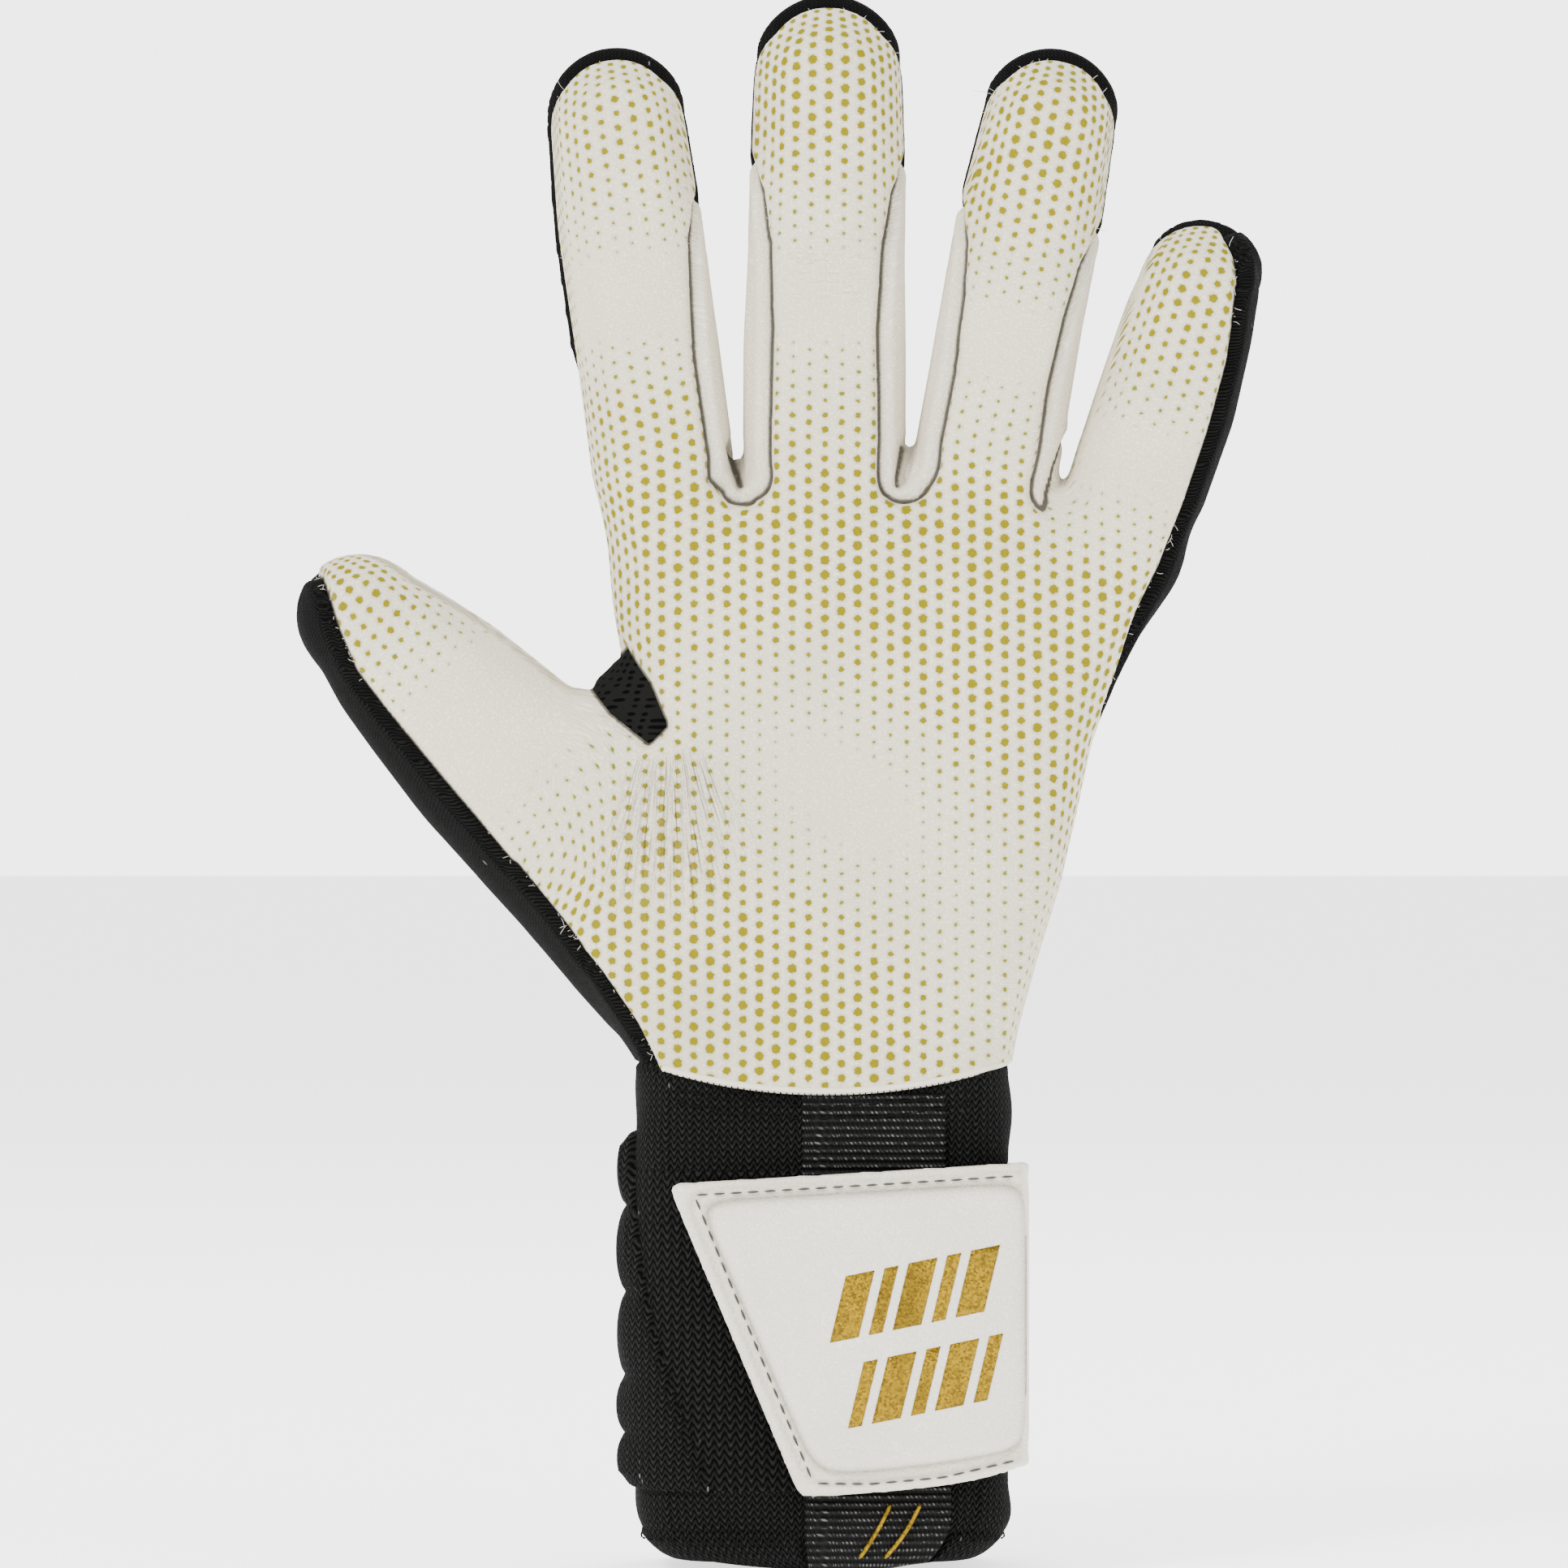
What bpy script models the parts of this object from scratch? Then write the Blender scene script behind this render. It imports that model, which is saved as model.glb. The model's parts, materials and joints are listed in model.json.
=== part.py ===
"""A left-hand goalkeeper glove, standing on its cuff with the palm facing -Y.

All sizes below are in millimetres and are turned into metres when a mesh is made. X runs across
the palm, Y from the palm to the back of the hand, Z along the fingers.
"""

import math

import bmesh
import bpy
from mathutils import Vector

MM = 0.001
CENTRE_SHIFT = (0.8, 2.7, 0.0)  # puts the origin under the middle of the glove's box
GAP = 0.35  # between pieces that touch

# Driving dimensions of the hand
PALM_TOP_Z = 207.0
PALM_FRONT_AT_TOP = -8.5  # inner face of the palm latex, at the finger line
BACK_FRONT_AT_TOP = 9.5  # inner face of the backhand, at the finger line
HAND_FLARE = 0.07  # how fast the hand gets deeper towards the wrist, each side
LATEX = 4.6  # foam laminate
BACKHAND = 3.2
LINING = 1.2
WALL = 3.4  # side strips and gussets
DIGIT_SQUARENESS = 2.7  # of a finger's rounded section, where 2 is an ellipse

# Driving dimensions of the wrist and the strap
WRIST_X = 7.4
WRIST_HALF_WIDTH = 35.6
WRIST_HALF_DEPTH = 20.5
WRIST_INNER_Y = 16.5
WRIST_INNER_X = 28.6
WRIST_SQUARENESS = 4.0
WRIST_TOP_Z = 90.2
HEM_HEIGHT = 5.0
STRAP_LOW_Z = 16.0
STRAP_TOP_Z = 76.0
STRAP_FACE_Y = -23.6  # the strap's inner face
STRAP_THICK = 2.6
STRAP_HINGE = (46.0, -24.9)

# Clearances that let the fingers bend
PALM_SIDE_GAP = 3.0
BACK_SIDE_GAP = 1.9

COLOURS = {
    "latex": ((0.80, 0.78, 0.72), 0.78),
    "gusset": ((0.82, 0.81, 0.78), 0.6),
    "backhand": ((0.012, 0.012, 0.011), 0.9),
    "perforated": ((0.018, 0.018, 0.017), 0.8),
    "lining": ((0.30, 0.30, 0.30), 0.95),
    "knit": ((0.014, 0.014, 0.013), 0.95),
    "webbing": ((0.03, 0.03, 0.03), 0.7),
    "loop": ((0.010, 0.010, 0.010), 1.0),
    "strap": ((0.83, 0.83, 0.81), 0.45),
}


def clear_scene():
    for thing in list(bpy.data.objects):
        bpy.data.objects.remove(thing, do_unlink=True)


def material(kind):
    found = bpy.data.materials.get(kind)
    if found:
        return found
    colour, roughness = COLOURS[kind]
    made = bpy.data.materials.new(kind)
    made.use_nodes = True
    shader = made.node_tree.nodes["Principled BSDF"]
    shader.inputs["Base Color"].default_value = (*colour, 1)
    shader.inputs["Roughness"].default_value = roughness
    shader.inputs["Metallic"].default_value = 0
    made.diffuse_color = (*colour, 1)
    return made


def finish(name, mesh_data, kind, pivot, sharp_angle=40):
    """Turns a bmesh in millimetres into a named object in metres, with its origin at the pivot."""
    bmesh.ops.recalc_face_normals(mesh_data, faces=mesh_data.faces)
    for vertex in mesh_data.verts:
        vertex.co = (vertex.co - Vector(pivot)) * MM
    mesh = bpy.data.meshes.new(name)
    mesh_data.to_mesh(mesh)
    mesh_data.free()
    mesh.shade_smooth()
    mesh.set_sharp_from_angle(angle=math.radians(sharp_angle))
    mesh.materials.append(material(kind))
    thing = bpy.data.objects.new(name, mesh)
    thing.location = (Vector(pivot) + Vector(CENTRE_SHIFT)) * MM
    bpy.context.scene.collection.objects.link(thing)
    return thing


def thick_sheet(name, outer, inner, kind, pivot=(0, 0, 0)):
    """A closed solid between two grids of points: outer[row][column] and inner[row][column]."""
    data = bmesh.new()
    rows, columns = len(outer), len(outer[0])
    faces = [[[data.verts.new(p) for p in row] for row in grid] for grid in (outer, inner)]
    for grid in faces:
        for r in range(rows - 1):
            for c in range(columns - 1):
                data.faces.new((grid[r][c], grid[r][c + 1], grid[r + 1][c + 1], grid[r + 1][c]))
    front, back = faces
    for r in range(rows - 1):
        for c in (0, columns - 1):
            data.faces.new((front[r][c], front[r + 1][c], back[r + 1][c], back[r][c]))
    for c in range(columns - 1):
        for r in (0, rows - 1):
            data.faces.new((front[r][c], front[r][c + 1], back[r][c + 1], back[r][c]))
    return finish(name, data, kind, pivot)


def plate(name, outline, outer_y, inner_y, kind, pivot=(0, 0, 0), bevel=0.0):
    """An outline of (x, z) points made solid between the depths outer_y(z) and inner_y(z)."""
    data = bmesh.new()
    outer = [data.verts.new((x, outer_y(z), z)) for x, z in outline]
    inner = [data.verts.new((x, inner_y(z), z)) for x, z in outline]
    data.faces.new(outer)
    data.faces.new(inner)
    for i in range(len(outline)):
        j = (i + 1) % len(outline)
        data.faces.new((outer[i], outer[j], inner[j], inner[i]))
    thing = finish(name, data, kind, pivot)
    if bevel:
        rounding = thing.modifiers.new("rounded_edges", "BEVEL")
        rounding.width = bevel * MM
        rounding.segments = 2
        rounding.limit_method = "ANGLE"
        rounding.angle_limit = math.radians(60)
    return thing


def level(depth):
    return lambda z: depth


def palm_inner(z):
    return PALM_FRONT_AT_TOP - HAND_FLARE * (PALM_TOP_Z - z)


def back_inner(z):
    return BACK_FRONT_AT_TOP + HAND_FLARE * (PALM_TOP_Z - z)


def power(value, exponent):
    return math.copysign(abs(value) ** exponent, value)


def oval(half_width, front, back, turn, squareness=DIGIT_SQUARENESS):
    """A point of a rounded section: turn 0 is the palm side, 90 is +X, 180 the back of the hand."""
    angle = math.radians(turn)
    depth = front if math.cos(angle) > 0 else back
    across = half_width * power(math.sin(angle), 2 / squareness)
    return across, -depth * power(math.cos(angle), 2 / squareness)


def turn_at_depth(depth, y, squareness=DIGIT_SQUARENESS):
    """The angle from the nearest face at which an oval of this depth has come in to y."""
    return math.degrees(math.acos(min(1.0, (abs(y) / depth) ** (squareness / 2))))


def spread(low, high, count):
    return [low + (high - low) * i / (count - 1) for i in range(count)]


class Digit:
    """A finger or the thumb: a root hinge, a middle hinge, and a rounded tip."""

    def __init__(self, name, root, tilt, reach, middle, widths, depths, hinge_y):
        self.name = name
        self.root = root
        self.tilt = math.radians(tilt)
        self.reach = reach
        self.middle = middle
        self.widths = widths
        self.front, self.back = depths
        self.hinge_y = hinge_y
        self.inner_front = -(self.front - LATEX)
        self.inner_back = self.back - BACKHAND

    def place(self, across, y, along):
        """A point of the digit's own frame in world millimetres."""
        x = self.root[0] + across * math.cos(self.tilt) + along * math.sin(self.tilt)
        z = self.root[1] - across * math.sin(self.tilt) + along * math.cos(self.tilt)
        return (x, y, z)

    def pivot(self, along):
        x, _, z = self.place(0, 0, along)
        return (x, self.hinge_y, z)

    def half_width(self, along):
        """Half the width, straight from the root to the middle hinge and on to the fingertip."""
        root, middle, tip = self.widths
        if along < self.middle:
            return (root + (middle - root) * along / self.middle) / 2
        share = (along - self.middle) / (self.reach - self.middle)
        return (middle + (tip - middle) * share) / 2

    def width_at(self, width, y):
        depth = self.front if y < 0 else self.back
        return width * (1 - (abs(y) / depth) ** DIGIT_SQUARENESS) ** (1 / DIGIT_SQUARENESS)

    def rounding(self, along):
        """1 along the digit, falling to 0 over its round tip."""
        start = self.reach - self.widths[2] * 0.52
        if along <= start:
            return 1.0
        return math.sqrt(max(0.0, 1 - ((along - start) / (self.reach - start)) ** 2))

    def palm_slab(self, low, high, part):
        turns = spread(-1, 1, 9)
        edge = turn_at_depth(self.front, self.inner_front - 0.9)
        outer, inner = [], []
        for along in spread(low, high, 4):
            width = self.half_width(along)
            row = [oval(width, self.front, self.back, t * edge) for t in turns]
            outer.append([self.place(x, y, along) for x, y in row])
            inner.append([self.place(x, self.inner_front, along) for x, _ in row])
        name = f"{self.name}_{part}_palm_latex"
        return thick_sheet(name, outer, inner, "latex", self.pivot(0))

    def back_slab(self, low, high, part):
        """The backhand side; past the fingertip's shoulders it thins and closes over the end."""
        turns = spread(-1, 1, 9)
        edge = turn_at_depth(self.back, self.inner_back + 0.9)
        outer, inner = [], []
        tip = part == "tip"
        stations = spread(low, high, 4) if not tip else self.tip_stations(low, high)
        for along in stations:
            round_off = self.rounding(along) if tip else 1.0
            width = self.half_width(along) * max(round_off, 0.3)
            row = [oval(width, self.front, self.back, 180 - t * edge) for t in turns]
            flat = self.inner_back + GAP
            lift = [max(0.8, (y - flat) * (0.35 + 0.65 * round_off)) for _, y in row]
            outer.append([self.place(x, flat + up, along) for (x, _), up in zip(row, lift)])
            inner.append([self.place(x, flat, along) for x, _ in row])
        pivot = self.pivot(self.middle if tip else 0)
        return thick_sheet(f"{self.name}_{part}_back", outer, inner, "backhand", pivot)

    def tip_stations(self, low, high):
        start = self.reach - self.widths[2] * 0.52
        steps = [start + (high - start) * math.sin(math.radians(a)) for a in (0, 28, 50, 68, 90)]
        return [low, (low + start) / 2, *steps]

    def side_wall(self, low, high, part, side, kind, label):
        """A gusset or a side strip: round outside, flat inside, between the two faces."""
        low_y, high_y = self.inner_front + GAP, self.inner_back - GAP
        outer, inner = [], []
        for along in spread(low, high, 4):
            width = self.half_width(along)
            across = [self.width_at(width, y) for y in spread(low_y, high_y, 5)]
            flat = min(width - WALL, min(across) - 1)
            outer_row, inner_row = [], []
            for x, y in zip(across, spread(low_y, high_y, 5)):
                outer_row.append(self.place(side * x, y, along))
                inner_row.append(self.place(side * flat, y, along))
            outer.append(outer_row)
            inner.append(inner_row)
        return thick_sheet(f"{self.name}_{part}_{label}", outer, inner, kind, self.pivot(0))

    def tip_cup(self):
        """The latex of the fingertip: front and sides in one sheet, closed over the end."""
        low = self.middle + PALM_SIDE_GAP
        cut = self.inner_back - GAP
        edge = 180 - turn_at_depth(self.back, cut)
        turns = [-edge, -94, -72, -48, -24, 0, 24, 48, 72, 94, edge]
        outer, inner = [], []
        for along in self.tip_stations(low, self.reach - 0.9):
            round_off = self.rounding(along)
            width = self.half_width(along) * max(round_off, 0.24)
            front = self.front * max(round_off, 0.3) ** 0.8
            row = [oval(width, front, self.back, t) for t in turns]
            row[0], row[-1] = (row[0][0], cut), (row[-1][0], cut)
            outer.append([self.place(x, min(y, cut), along) for x, y in row])
            room = max(0.0, min(1.0, (self.reach - 5 - along) / 9))
            hollow = (self.half_width(along) - WALL) * max(room, 0.2) ** 0.5 * max(round_off, 0.24)
            reach_in = (-self.inner_front + cut) * room
            inner_row = []
            for index, turn in enumerate(turns):
                if index in (0, len(turns) - 1):
                    x, y = math.copysign(hollow, turn), cut
                else:
                    x, y = oval(hollow, reach_in, reach_in, turn * 0.9, 4)
                    y = min(cut, cut + y)
                inner_row.append(self.place(x, y, along))
            inner.append(inner_row)
        name = f"{self.name}_tip_palm_latex"
        return thick_sheet(name, outer, inner, "latex", self.pivot(self.middle))


def make_digit(digit, left, right):
    """left and right are (kind, label) of the base's side walls."""
    base_end = digit.middle - PALM_SIDE_GAP
    digit.palm_slab(PALM_SIDE_GAP, base_end, "base")
    digit.back_slab(BACK_SIDE_GAP, digit.middle - BACK_SIDE_GAP, "base")
    for side, (kind, label) in ((-1, left), (1, right)):
        digit.side_wall(BACK_SIDE_GAP, digit.middle - BACK_SIDE_GAP, "base", side, kind, label)
    digit.tip_cup()
    digit.back_slab(digit.middle + BACK_SIDE_GAP, digit.reach, "tip")


DIGITS = {
    "index": Digit("index", (-22.6, 207), -7, 82.6, 36, (27, 27.4, 26.2), (13.1, 12.7), -9.8),
    "middle": Digit("middle", (7.7, 208), 0.6, 90.9, 39, (31, 30.4, 28.6), (13.1, 12.7), -9.8),
    "ring": Digit("ring", (38.3, 209), 10.4, 81, 35.5, (28.2, 27.2, 25.2), (13.1, 12.7), -9.8),
    "little": Digit("little", (67, 203.5), 17, 55, 26, (27.4, 26, 23.4), (12.9, 12.5), -9.6),
    "thumb": Digit("thumb", (-45.8, 149.6), -46, 60, 29, (38, 32.6, 28), (15.6, 14.6), -12.3),
}


def make_fingers():
    make_digit(DIGITS["index"], ("backhand", "side_strip"), ("gusset", "inner_gusset"))
    make_digit(DIGITS["middle"], ("gusset", "left_gusset"), ("gusset", "right_gusset"))
    make_digit(DIGITS["ring"], ("gusset", "left_gusset"), ("gusset", "right_gusset"))
    make_digit(DIGITS["little"], ("latex", "inner_side"), ("backhand", "side_strip"))
    make_digit(DIGITS["thumb"], ("backhand", "side_strip"), ("latex", "inner_side"))


def finger_line(gap, inset=0.0):
    """The top edge of the hand: under each finger's hinge, square to the finger."""
    points = []
    for name in ("index", "middle", "ring", "little"):
        digit = DIGITS[name]
        half = digit.half_width(0) - inset
        for side in (-1, 1):
            x, _, z = digit.place(side * half, 0, -gap)
            points.append((x, z))
    return points


def thumb_line(gap, low_inset, high_inset):
    digit = DIGITS["thumb"]
    half = digit.half_width(0)
    low = digit.place(-half + low_inset, 0, -gap)
    high = digit.place(half - high_inset, 0, -gap)
    return [(low[0], low[2]), (high[0], high[2])]


def palm_outline(gap, inset=0.0):
    """The palm sheet, from its lower left corner up the thumb side and round the fingers."""
    seam = 6.5 + inset  # the black strip beside the thumb
    low_left = [(-25.2 + inset, 97.5), (-32 + inset, 108.5), (-41.6 + inset, 121.8)]
    web = [(-27 - inset * 0.5, 158.6 - inset), (-23.6 + inset, 162.4), (-28.2 + inset, 172)]
    index_side = [(-30.4 + inset, 182)]
    right = [(74.8 - inset, 195), (64.8 - inset, 173), (58.6 - inset, 154), (51 - inset, 124)]
    bottom_right = [(46.6 - inset, 109), (42.8 - inset, 99.5)]
    bottom = [(x, 91 + 0.0042 * (x - 8) ** 2 + inset) for x in (34, 21, 8, -5, -18)]
    fingers = finger_line(gap, inset)
    fingers[0] = (fingers[0][0] + 1.2, fingers[0][1])
    fingers[-1] = (fingers[-1][0] - 3.4, fingers[-1][1] + 1.0)
    thumb = thumb_line(gap, seam, 0.6 + inset)
    return low_left + thumb + web + index_side + fingers + right + bottom_right + bottom


def make_hand():
    plate(
        "palm_latex",
        palm_outline(PALM_SIDE_GAP),
        lambda z: palm_inner(z) - LATEX,
        palm_inner,
        "latex",
        bevel=1.1,
    )
    plate(
        "palm_lining",
        palm_outline(PALM_SIDE_GAP + 3, 8),
        lambda z: palm_inner(z) + GAP,
        lambda z: palm_inner(z) + GAP + LINING,
        "lining",
    )
    plate(
        "backhand_panel",
        palm_outline(BACK_SIDE_GAP),
        lambda z: back_inner(z) + BACKHAND,
        back_inner,
        "backhand",
        bevel=1.0,
    )
    plate(
        "backhand_lining",
        palm_outline(BACK_SIDE_GAP + 4, 8),
        lambda z: back_inner(z) - GAP,
        lambda z: back_inner(z) - GAP - LINING,
        "lining",
    )


def hand_side(name, path, thickness, bulge, kind, side):
    """A side strip of the hand that follows path, a list of (x, z) at its outermost line."""
    outer, inner = [], []
    for x, z in path:
        low_y, high_y = palm_inner(z) + GAP, back_inner(z) - GAP
        half = (high_y - low_y) / 2
        middle = (high_y + low_y) / 2
        outer_row, inner_row = [], []
        for y in spread(low_y, high_y, 5):
            drop = bulge * ((y - middle) / half) ** 2
            outer_row.append((x - side * drop, y, z))
            inner_row.append((x - side * thickness, y, z))
        outer.append(outer_row)
        inner.append(inner_row)
    return thick_sheet(name, outer, inner, kind)


def make_hand_sides():
    little = [(44.2, 96), (48.4, 113), (54.9, 138), (60.8, 163), (68.1, 177.2), (75, 189), (79.4, 197.6)]
    hand_side("little_side_strip", little, 7, 2.6, "backhand", 1)
    heel = [(-29.6, 96), (-34.5, 103.5), (-42, 114.5), (-50.5, 122.8), (-57.5, 131.6)]
    hand_side("thumb_heel_strip", heel, 8, 3, "backhand", -1)
    index = [(-31.6, 176), (-32.2, 184), (-34, 194), (-35, 202)]
    hand_side("index_side_wall", index, 5, 1.4, "backhand", -1)
    web = [(-32.6, 164.6), (-31.6, 167.8), (-31.2, 171), (-31.3, 175.4)]
    hand_side("thumb_web_panel", web, 5.5, 1.0, "perforated", -1)


def make_crotches():
    """The U-shaped bottoms of the white gussets between the fingers."""
    places = {
        "index_middle_crotch": (-8.4, 201.6, 3.4),
        "middle_ring_crotch": (23.6, 202.4, WRIST_SQUARENESS),
        "ring_little_crotch": (52.2, 200.4, 3.0),
    }
    for name, (x, top, half) in places.items():
        outline = [(x + half * math.sin(a), top - 9 - half * math.cos(a)) for a in (-1.5, -0.8, 0, 0.8, 1.5)]
        outline += [(x + half, top), (x - half, top)]
        plate(
            name,
            outline,
            lambda z: palm_inner(z) + GAP + LINING + GAP,
            lambda z: back_inner(z) - GAP - LINING - GAP,
            "gusset",
        )


def wrist_half_width(z):
    """Narrow at the hem, full under the strap."""
    if z > 14:
        return WRIST_HALF_WIDTH
    return WRIST_HALF_WIDTH - 9 * (1 - math.sqrt(max(0.0, 1 - ((14 - z) / 16) ** 2)))


def wrist_slab(name, low, high, facing, kind):
    """The front or the back of the wrist: round outside, flat inside."""
    edge = turn_at_depth(WRIST_HALF_DEPTH, WRIST_INNER_Y + 0.9, WRIST_SQUARENESS)
    turns = spread(-edge, edge, 13)
    outer, inner = [], []
    for z in spread(low, high, 6):
        width = wrist_half_width(z)
        row = [oval(width, WRIST_HALF_DEPTH, WRIST_HALF_DEPTH, t, WRIST_SQUARENESS) for t in turns]
        outer.append([(WRIST_X + x, -facing * y, z) for x, y in row])
        inner.append([(WRIST_X + x, facing * WRIST_INNER_Y, z) for x, _ in row])
    return thick_sheet(name, outer, inner, kind)


def wrist_side(name, low, high, side, kind, ridges=0):
    """The side of the wrist; the quilted one swells between its stitched lines."""
    reach_y = WRIST_INNER_Y - GAP
    outer, inner = [], []
    for z in spread(low, high, 6 if not ridges else 2 * ridges + 5):
        width = wrist_half_width(z)
        swell = 0.0
        if ridges:
            swell = 2.8 * abs(math.sin(math.pi * ridges * (z - low) / (high - low))) ** 0.6
        outer_row, inner_row = [], []
        for y in spread(-reach_y, reach_y, 7):
            across = width * (1 - (abs(y) / WRIST_HALF_DEPTH) ** WRIST_SQUARENESS) ** (1 / WRIST_SQUARENESS)
            outer_row.append((WRIST_X + side * (across + swell), y, z))
            inner_row.append((WRIST_X + side * min(WRIST_INNER_X, width - 6), y, z))
        outer.append(outer_row)
        inner.append(inner_row)
    return thick_sheet(name, outer, inner, kind)


def make_wrist():
    low, high = HEM_HEIGHT + GAP, WRIST_TOP_Z
    wrist_slab("wrist_knit_front", low, high, -1, "knit")
    wrist_slab("wrist_knit_back", low, high, 1, "knit")
    wrist_side("cuff_thumb_side", low, 19.5, -1, "knit")
    wrist_side("strap_anchor", 20, 84, -1, "knit", ridges=3)
    wrist_side("wrist_little_side", low, high, 1, "knit")


def make_hem():
    """The cuff's hem: a closed band, flat underneath, that the glove stands on."""
    steps = 32
    data = bmesh.new()
    rings = []
    for z, grow in ((0, -2.2), (1.4, 0.0), (HEM_HEIGHT, 0.0)):
        width, depth = wrist_half_width(z) + grow, WRIST_HALF_DEPTH + grow
        ring = [oval(width, depth, depth, 360 * i / steps, WRIST_SQUARENESS) for i in range(steps)]
        rings.append([data.verts.new((WRIST_X + x, y, z)) for x, y in ring])
    for z in (HEM_HEIGHT, 0):
        width, depth = wrist_half_width(0) - 7.0, WRIST_INNER_Y - 2.8
        ring = [oval(width, depth, depth, 360 * i / steps, WRIST_SQUARENESS) for i in range(steps)]
        rings.append([data.verts.new((WRIST_X + x, y, z)) for x, y in ring])
    for ring, following in zip(rings, rings[1:] + rings[:1]):
        for i in range(steps):
            j = (i + 1) % steps
            data.faces.new((ring[i], ring[j], following[j], following[i]))
    finish("cuff_hem", data, "knit", (0, 0, 0))


def make_closure():
    """What lies on the front of the wrist, from the inside out, and the strap that closes it."""
    face = -WRIST_HALF_DEPTH - GAP
    webbing = [(3.4, 20), (31, 20), (29.8, 89), (2.8, 89)]
    plate("wrist_webbing", webbing, level(face - 1.1), level(face), "webbing")
    tab = [(3.7, 0.6), (19.4, 0.6), (31.0, 2.6), (31.2, 19.4), (3.5, 19.4)]
    plate("pull_tab", tab, level(face - 2.0), level(face), "webbing", bevel=0.3)
    loop = [(-20.5, 20), (2.4, 20), (2.0, 74), (-20.5, 76)]
    plate("loop_patch", loop, level(face - 1.2), level(face), "loop")

    free_edge = [(-21.4, STRAP_TOP_Z - 1.6), (-20.6, 71.6), (-13.5, 56), (-6, 37.6), (2.2, 17.4)]
    free_edge += [(4.4, STRAP_LOW_Z)]
    bottom = [(27, STRAP_LOW_Z + 0.8), (44.6, STRAP_LOW_Z + 3.2)]
    top = [(44.6, STRAP_TOP_Z + 1.6), (20, STRAP_TOP_Z - 0.6)]
    pivot = (STRAP_HINGE[0], STRAP_HINGE[1], (STRAP_LOW_Z + STRAP_TOP_Z) / 2)
    outer_y = STRAP_FACE_Y - STRAP_THICK
    strap = free_edge + bottom + top
    plate("closure_strap", strap, level(outer_y), level(STRAP_FACE_Y), "strap", pivot, bevel=0.5)
    pad = [(-15, 71), (-8.6, 56), (-2, 40), (5, 23.4), (7.4, 20.6), (11, 19.6)]
    pad += [(30, 20.6), (43.6, 23), (43.6, 73), (19, 71.6)]
    raised = outer_y - GAP
    plate("strap_pad", pad, level(raised - 2.4), level(raised), "strap", pivot, bevel=0.9)
    hooks = [(-17, 70), (-9.4, 52), (-2.6, 36), (-0.4, 34), (-0.4, 72)]
    plate("hook_patch", hooks, level(STRAP_FACE_Y + GAP), level(STRAP_FACE_Y + GAP + 0.8), "loop", pivot)
    make_strap_wrap()


def make_strap_wrap():
    """The sewn part of the strap: round the little-finger side and across the back."""
    inner_width, inner_depth = WRIST_HALF_WIDTH + 0.6, WRIST_HALF_DEPTH + 0.6
    outer_width, outer_depth = inner_width + 2.4, inner_depth + 2.4
    low, high = STRAP_LOW_Z + 3, STRAP_TOP_Z + 2
    turns = [42, 54, 66, 78, 90, 104, 118, 132, 146, 160, 180, 200, 214]
    outer, inner = [], []
    for z in (low, (low + high) / 2, high):
        shape = [oval(inner_width, inner_depth, inner_depth, t, WRIST_SQUARENESS) for t in turns]
        cover = [oval(outer_width, outer_depth, outer_depth, t, WRIST_SQUARENESS) for t in turns]
        outer.append([(WRIST_X + x, y, z) for x, y in cover])
        inner.append([(WRIST_X + x, y, z) for x, y in shape])
    thick_sheet("strap_back_wrap", outer, inner, "strap")


clear_scene()
make_fingers()
make_hand()
make_hand_sides()
make_crotches()
make_wrist()
make_hem()
make_closure()
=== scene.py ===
# %% [markdown]
# # Goalkeeper glove, left hand
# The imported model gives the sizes, the hinges and the bodies. This script makes the glove's
# visible skins: one smooth hand form, cut along its seams into latex, gussets and knit, and a
# wrist with its webbing, loop panel and strap.

# %% Frame
import json
import math

import bmesh
import bpy
import numpy as np
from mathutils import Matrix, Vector, kdtree


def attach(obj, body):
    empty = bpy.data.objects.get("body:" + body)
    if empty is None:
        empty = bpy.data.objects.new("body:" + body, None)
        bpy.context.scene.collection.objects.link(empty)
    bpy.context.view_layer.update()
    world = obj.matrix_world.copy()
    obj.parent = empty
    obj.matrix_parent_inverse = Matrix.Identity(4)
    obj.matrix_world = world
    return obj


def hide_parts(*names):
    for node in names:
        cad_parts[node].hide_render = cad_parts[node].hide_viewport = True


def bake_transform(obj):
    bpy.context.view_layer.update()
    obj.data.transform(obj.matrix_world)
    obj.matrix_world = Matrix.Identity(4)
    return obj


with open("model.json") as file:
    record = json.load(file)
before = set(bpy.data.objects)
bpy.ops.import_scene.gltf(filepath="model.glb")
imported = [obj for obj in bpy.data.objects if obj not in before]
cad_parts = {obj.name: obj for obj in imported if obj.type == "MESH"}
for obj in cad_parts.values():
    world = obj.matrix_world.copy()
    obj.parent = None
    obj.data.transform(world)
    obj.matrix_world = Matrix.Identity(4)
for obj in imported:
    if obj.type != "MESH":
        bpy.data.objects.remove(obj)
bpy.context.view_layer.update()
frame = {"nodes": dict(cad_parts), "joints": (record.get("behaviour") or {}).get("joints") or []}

MM = 0.001
JOINTS = {joint["name"]: joint for joint in frame["joints"]}

# %% [markdown]
# ## Digits
# Each finger and the thumb has a root hinge and a middle hinge, which come from the frame. Its
# own frame has u across, s along, and y from palm to back. Lengths are in millimetres.

# %% Digits


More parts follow.
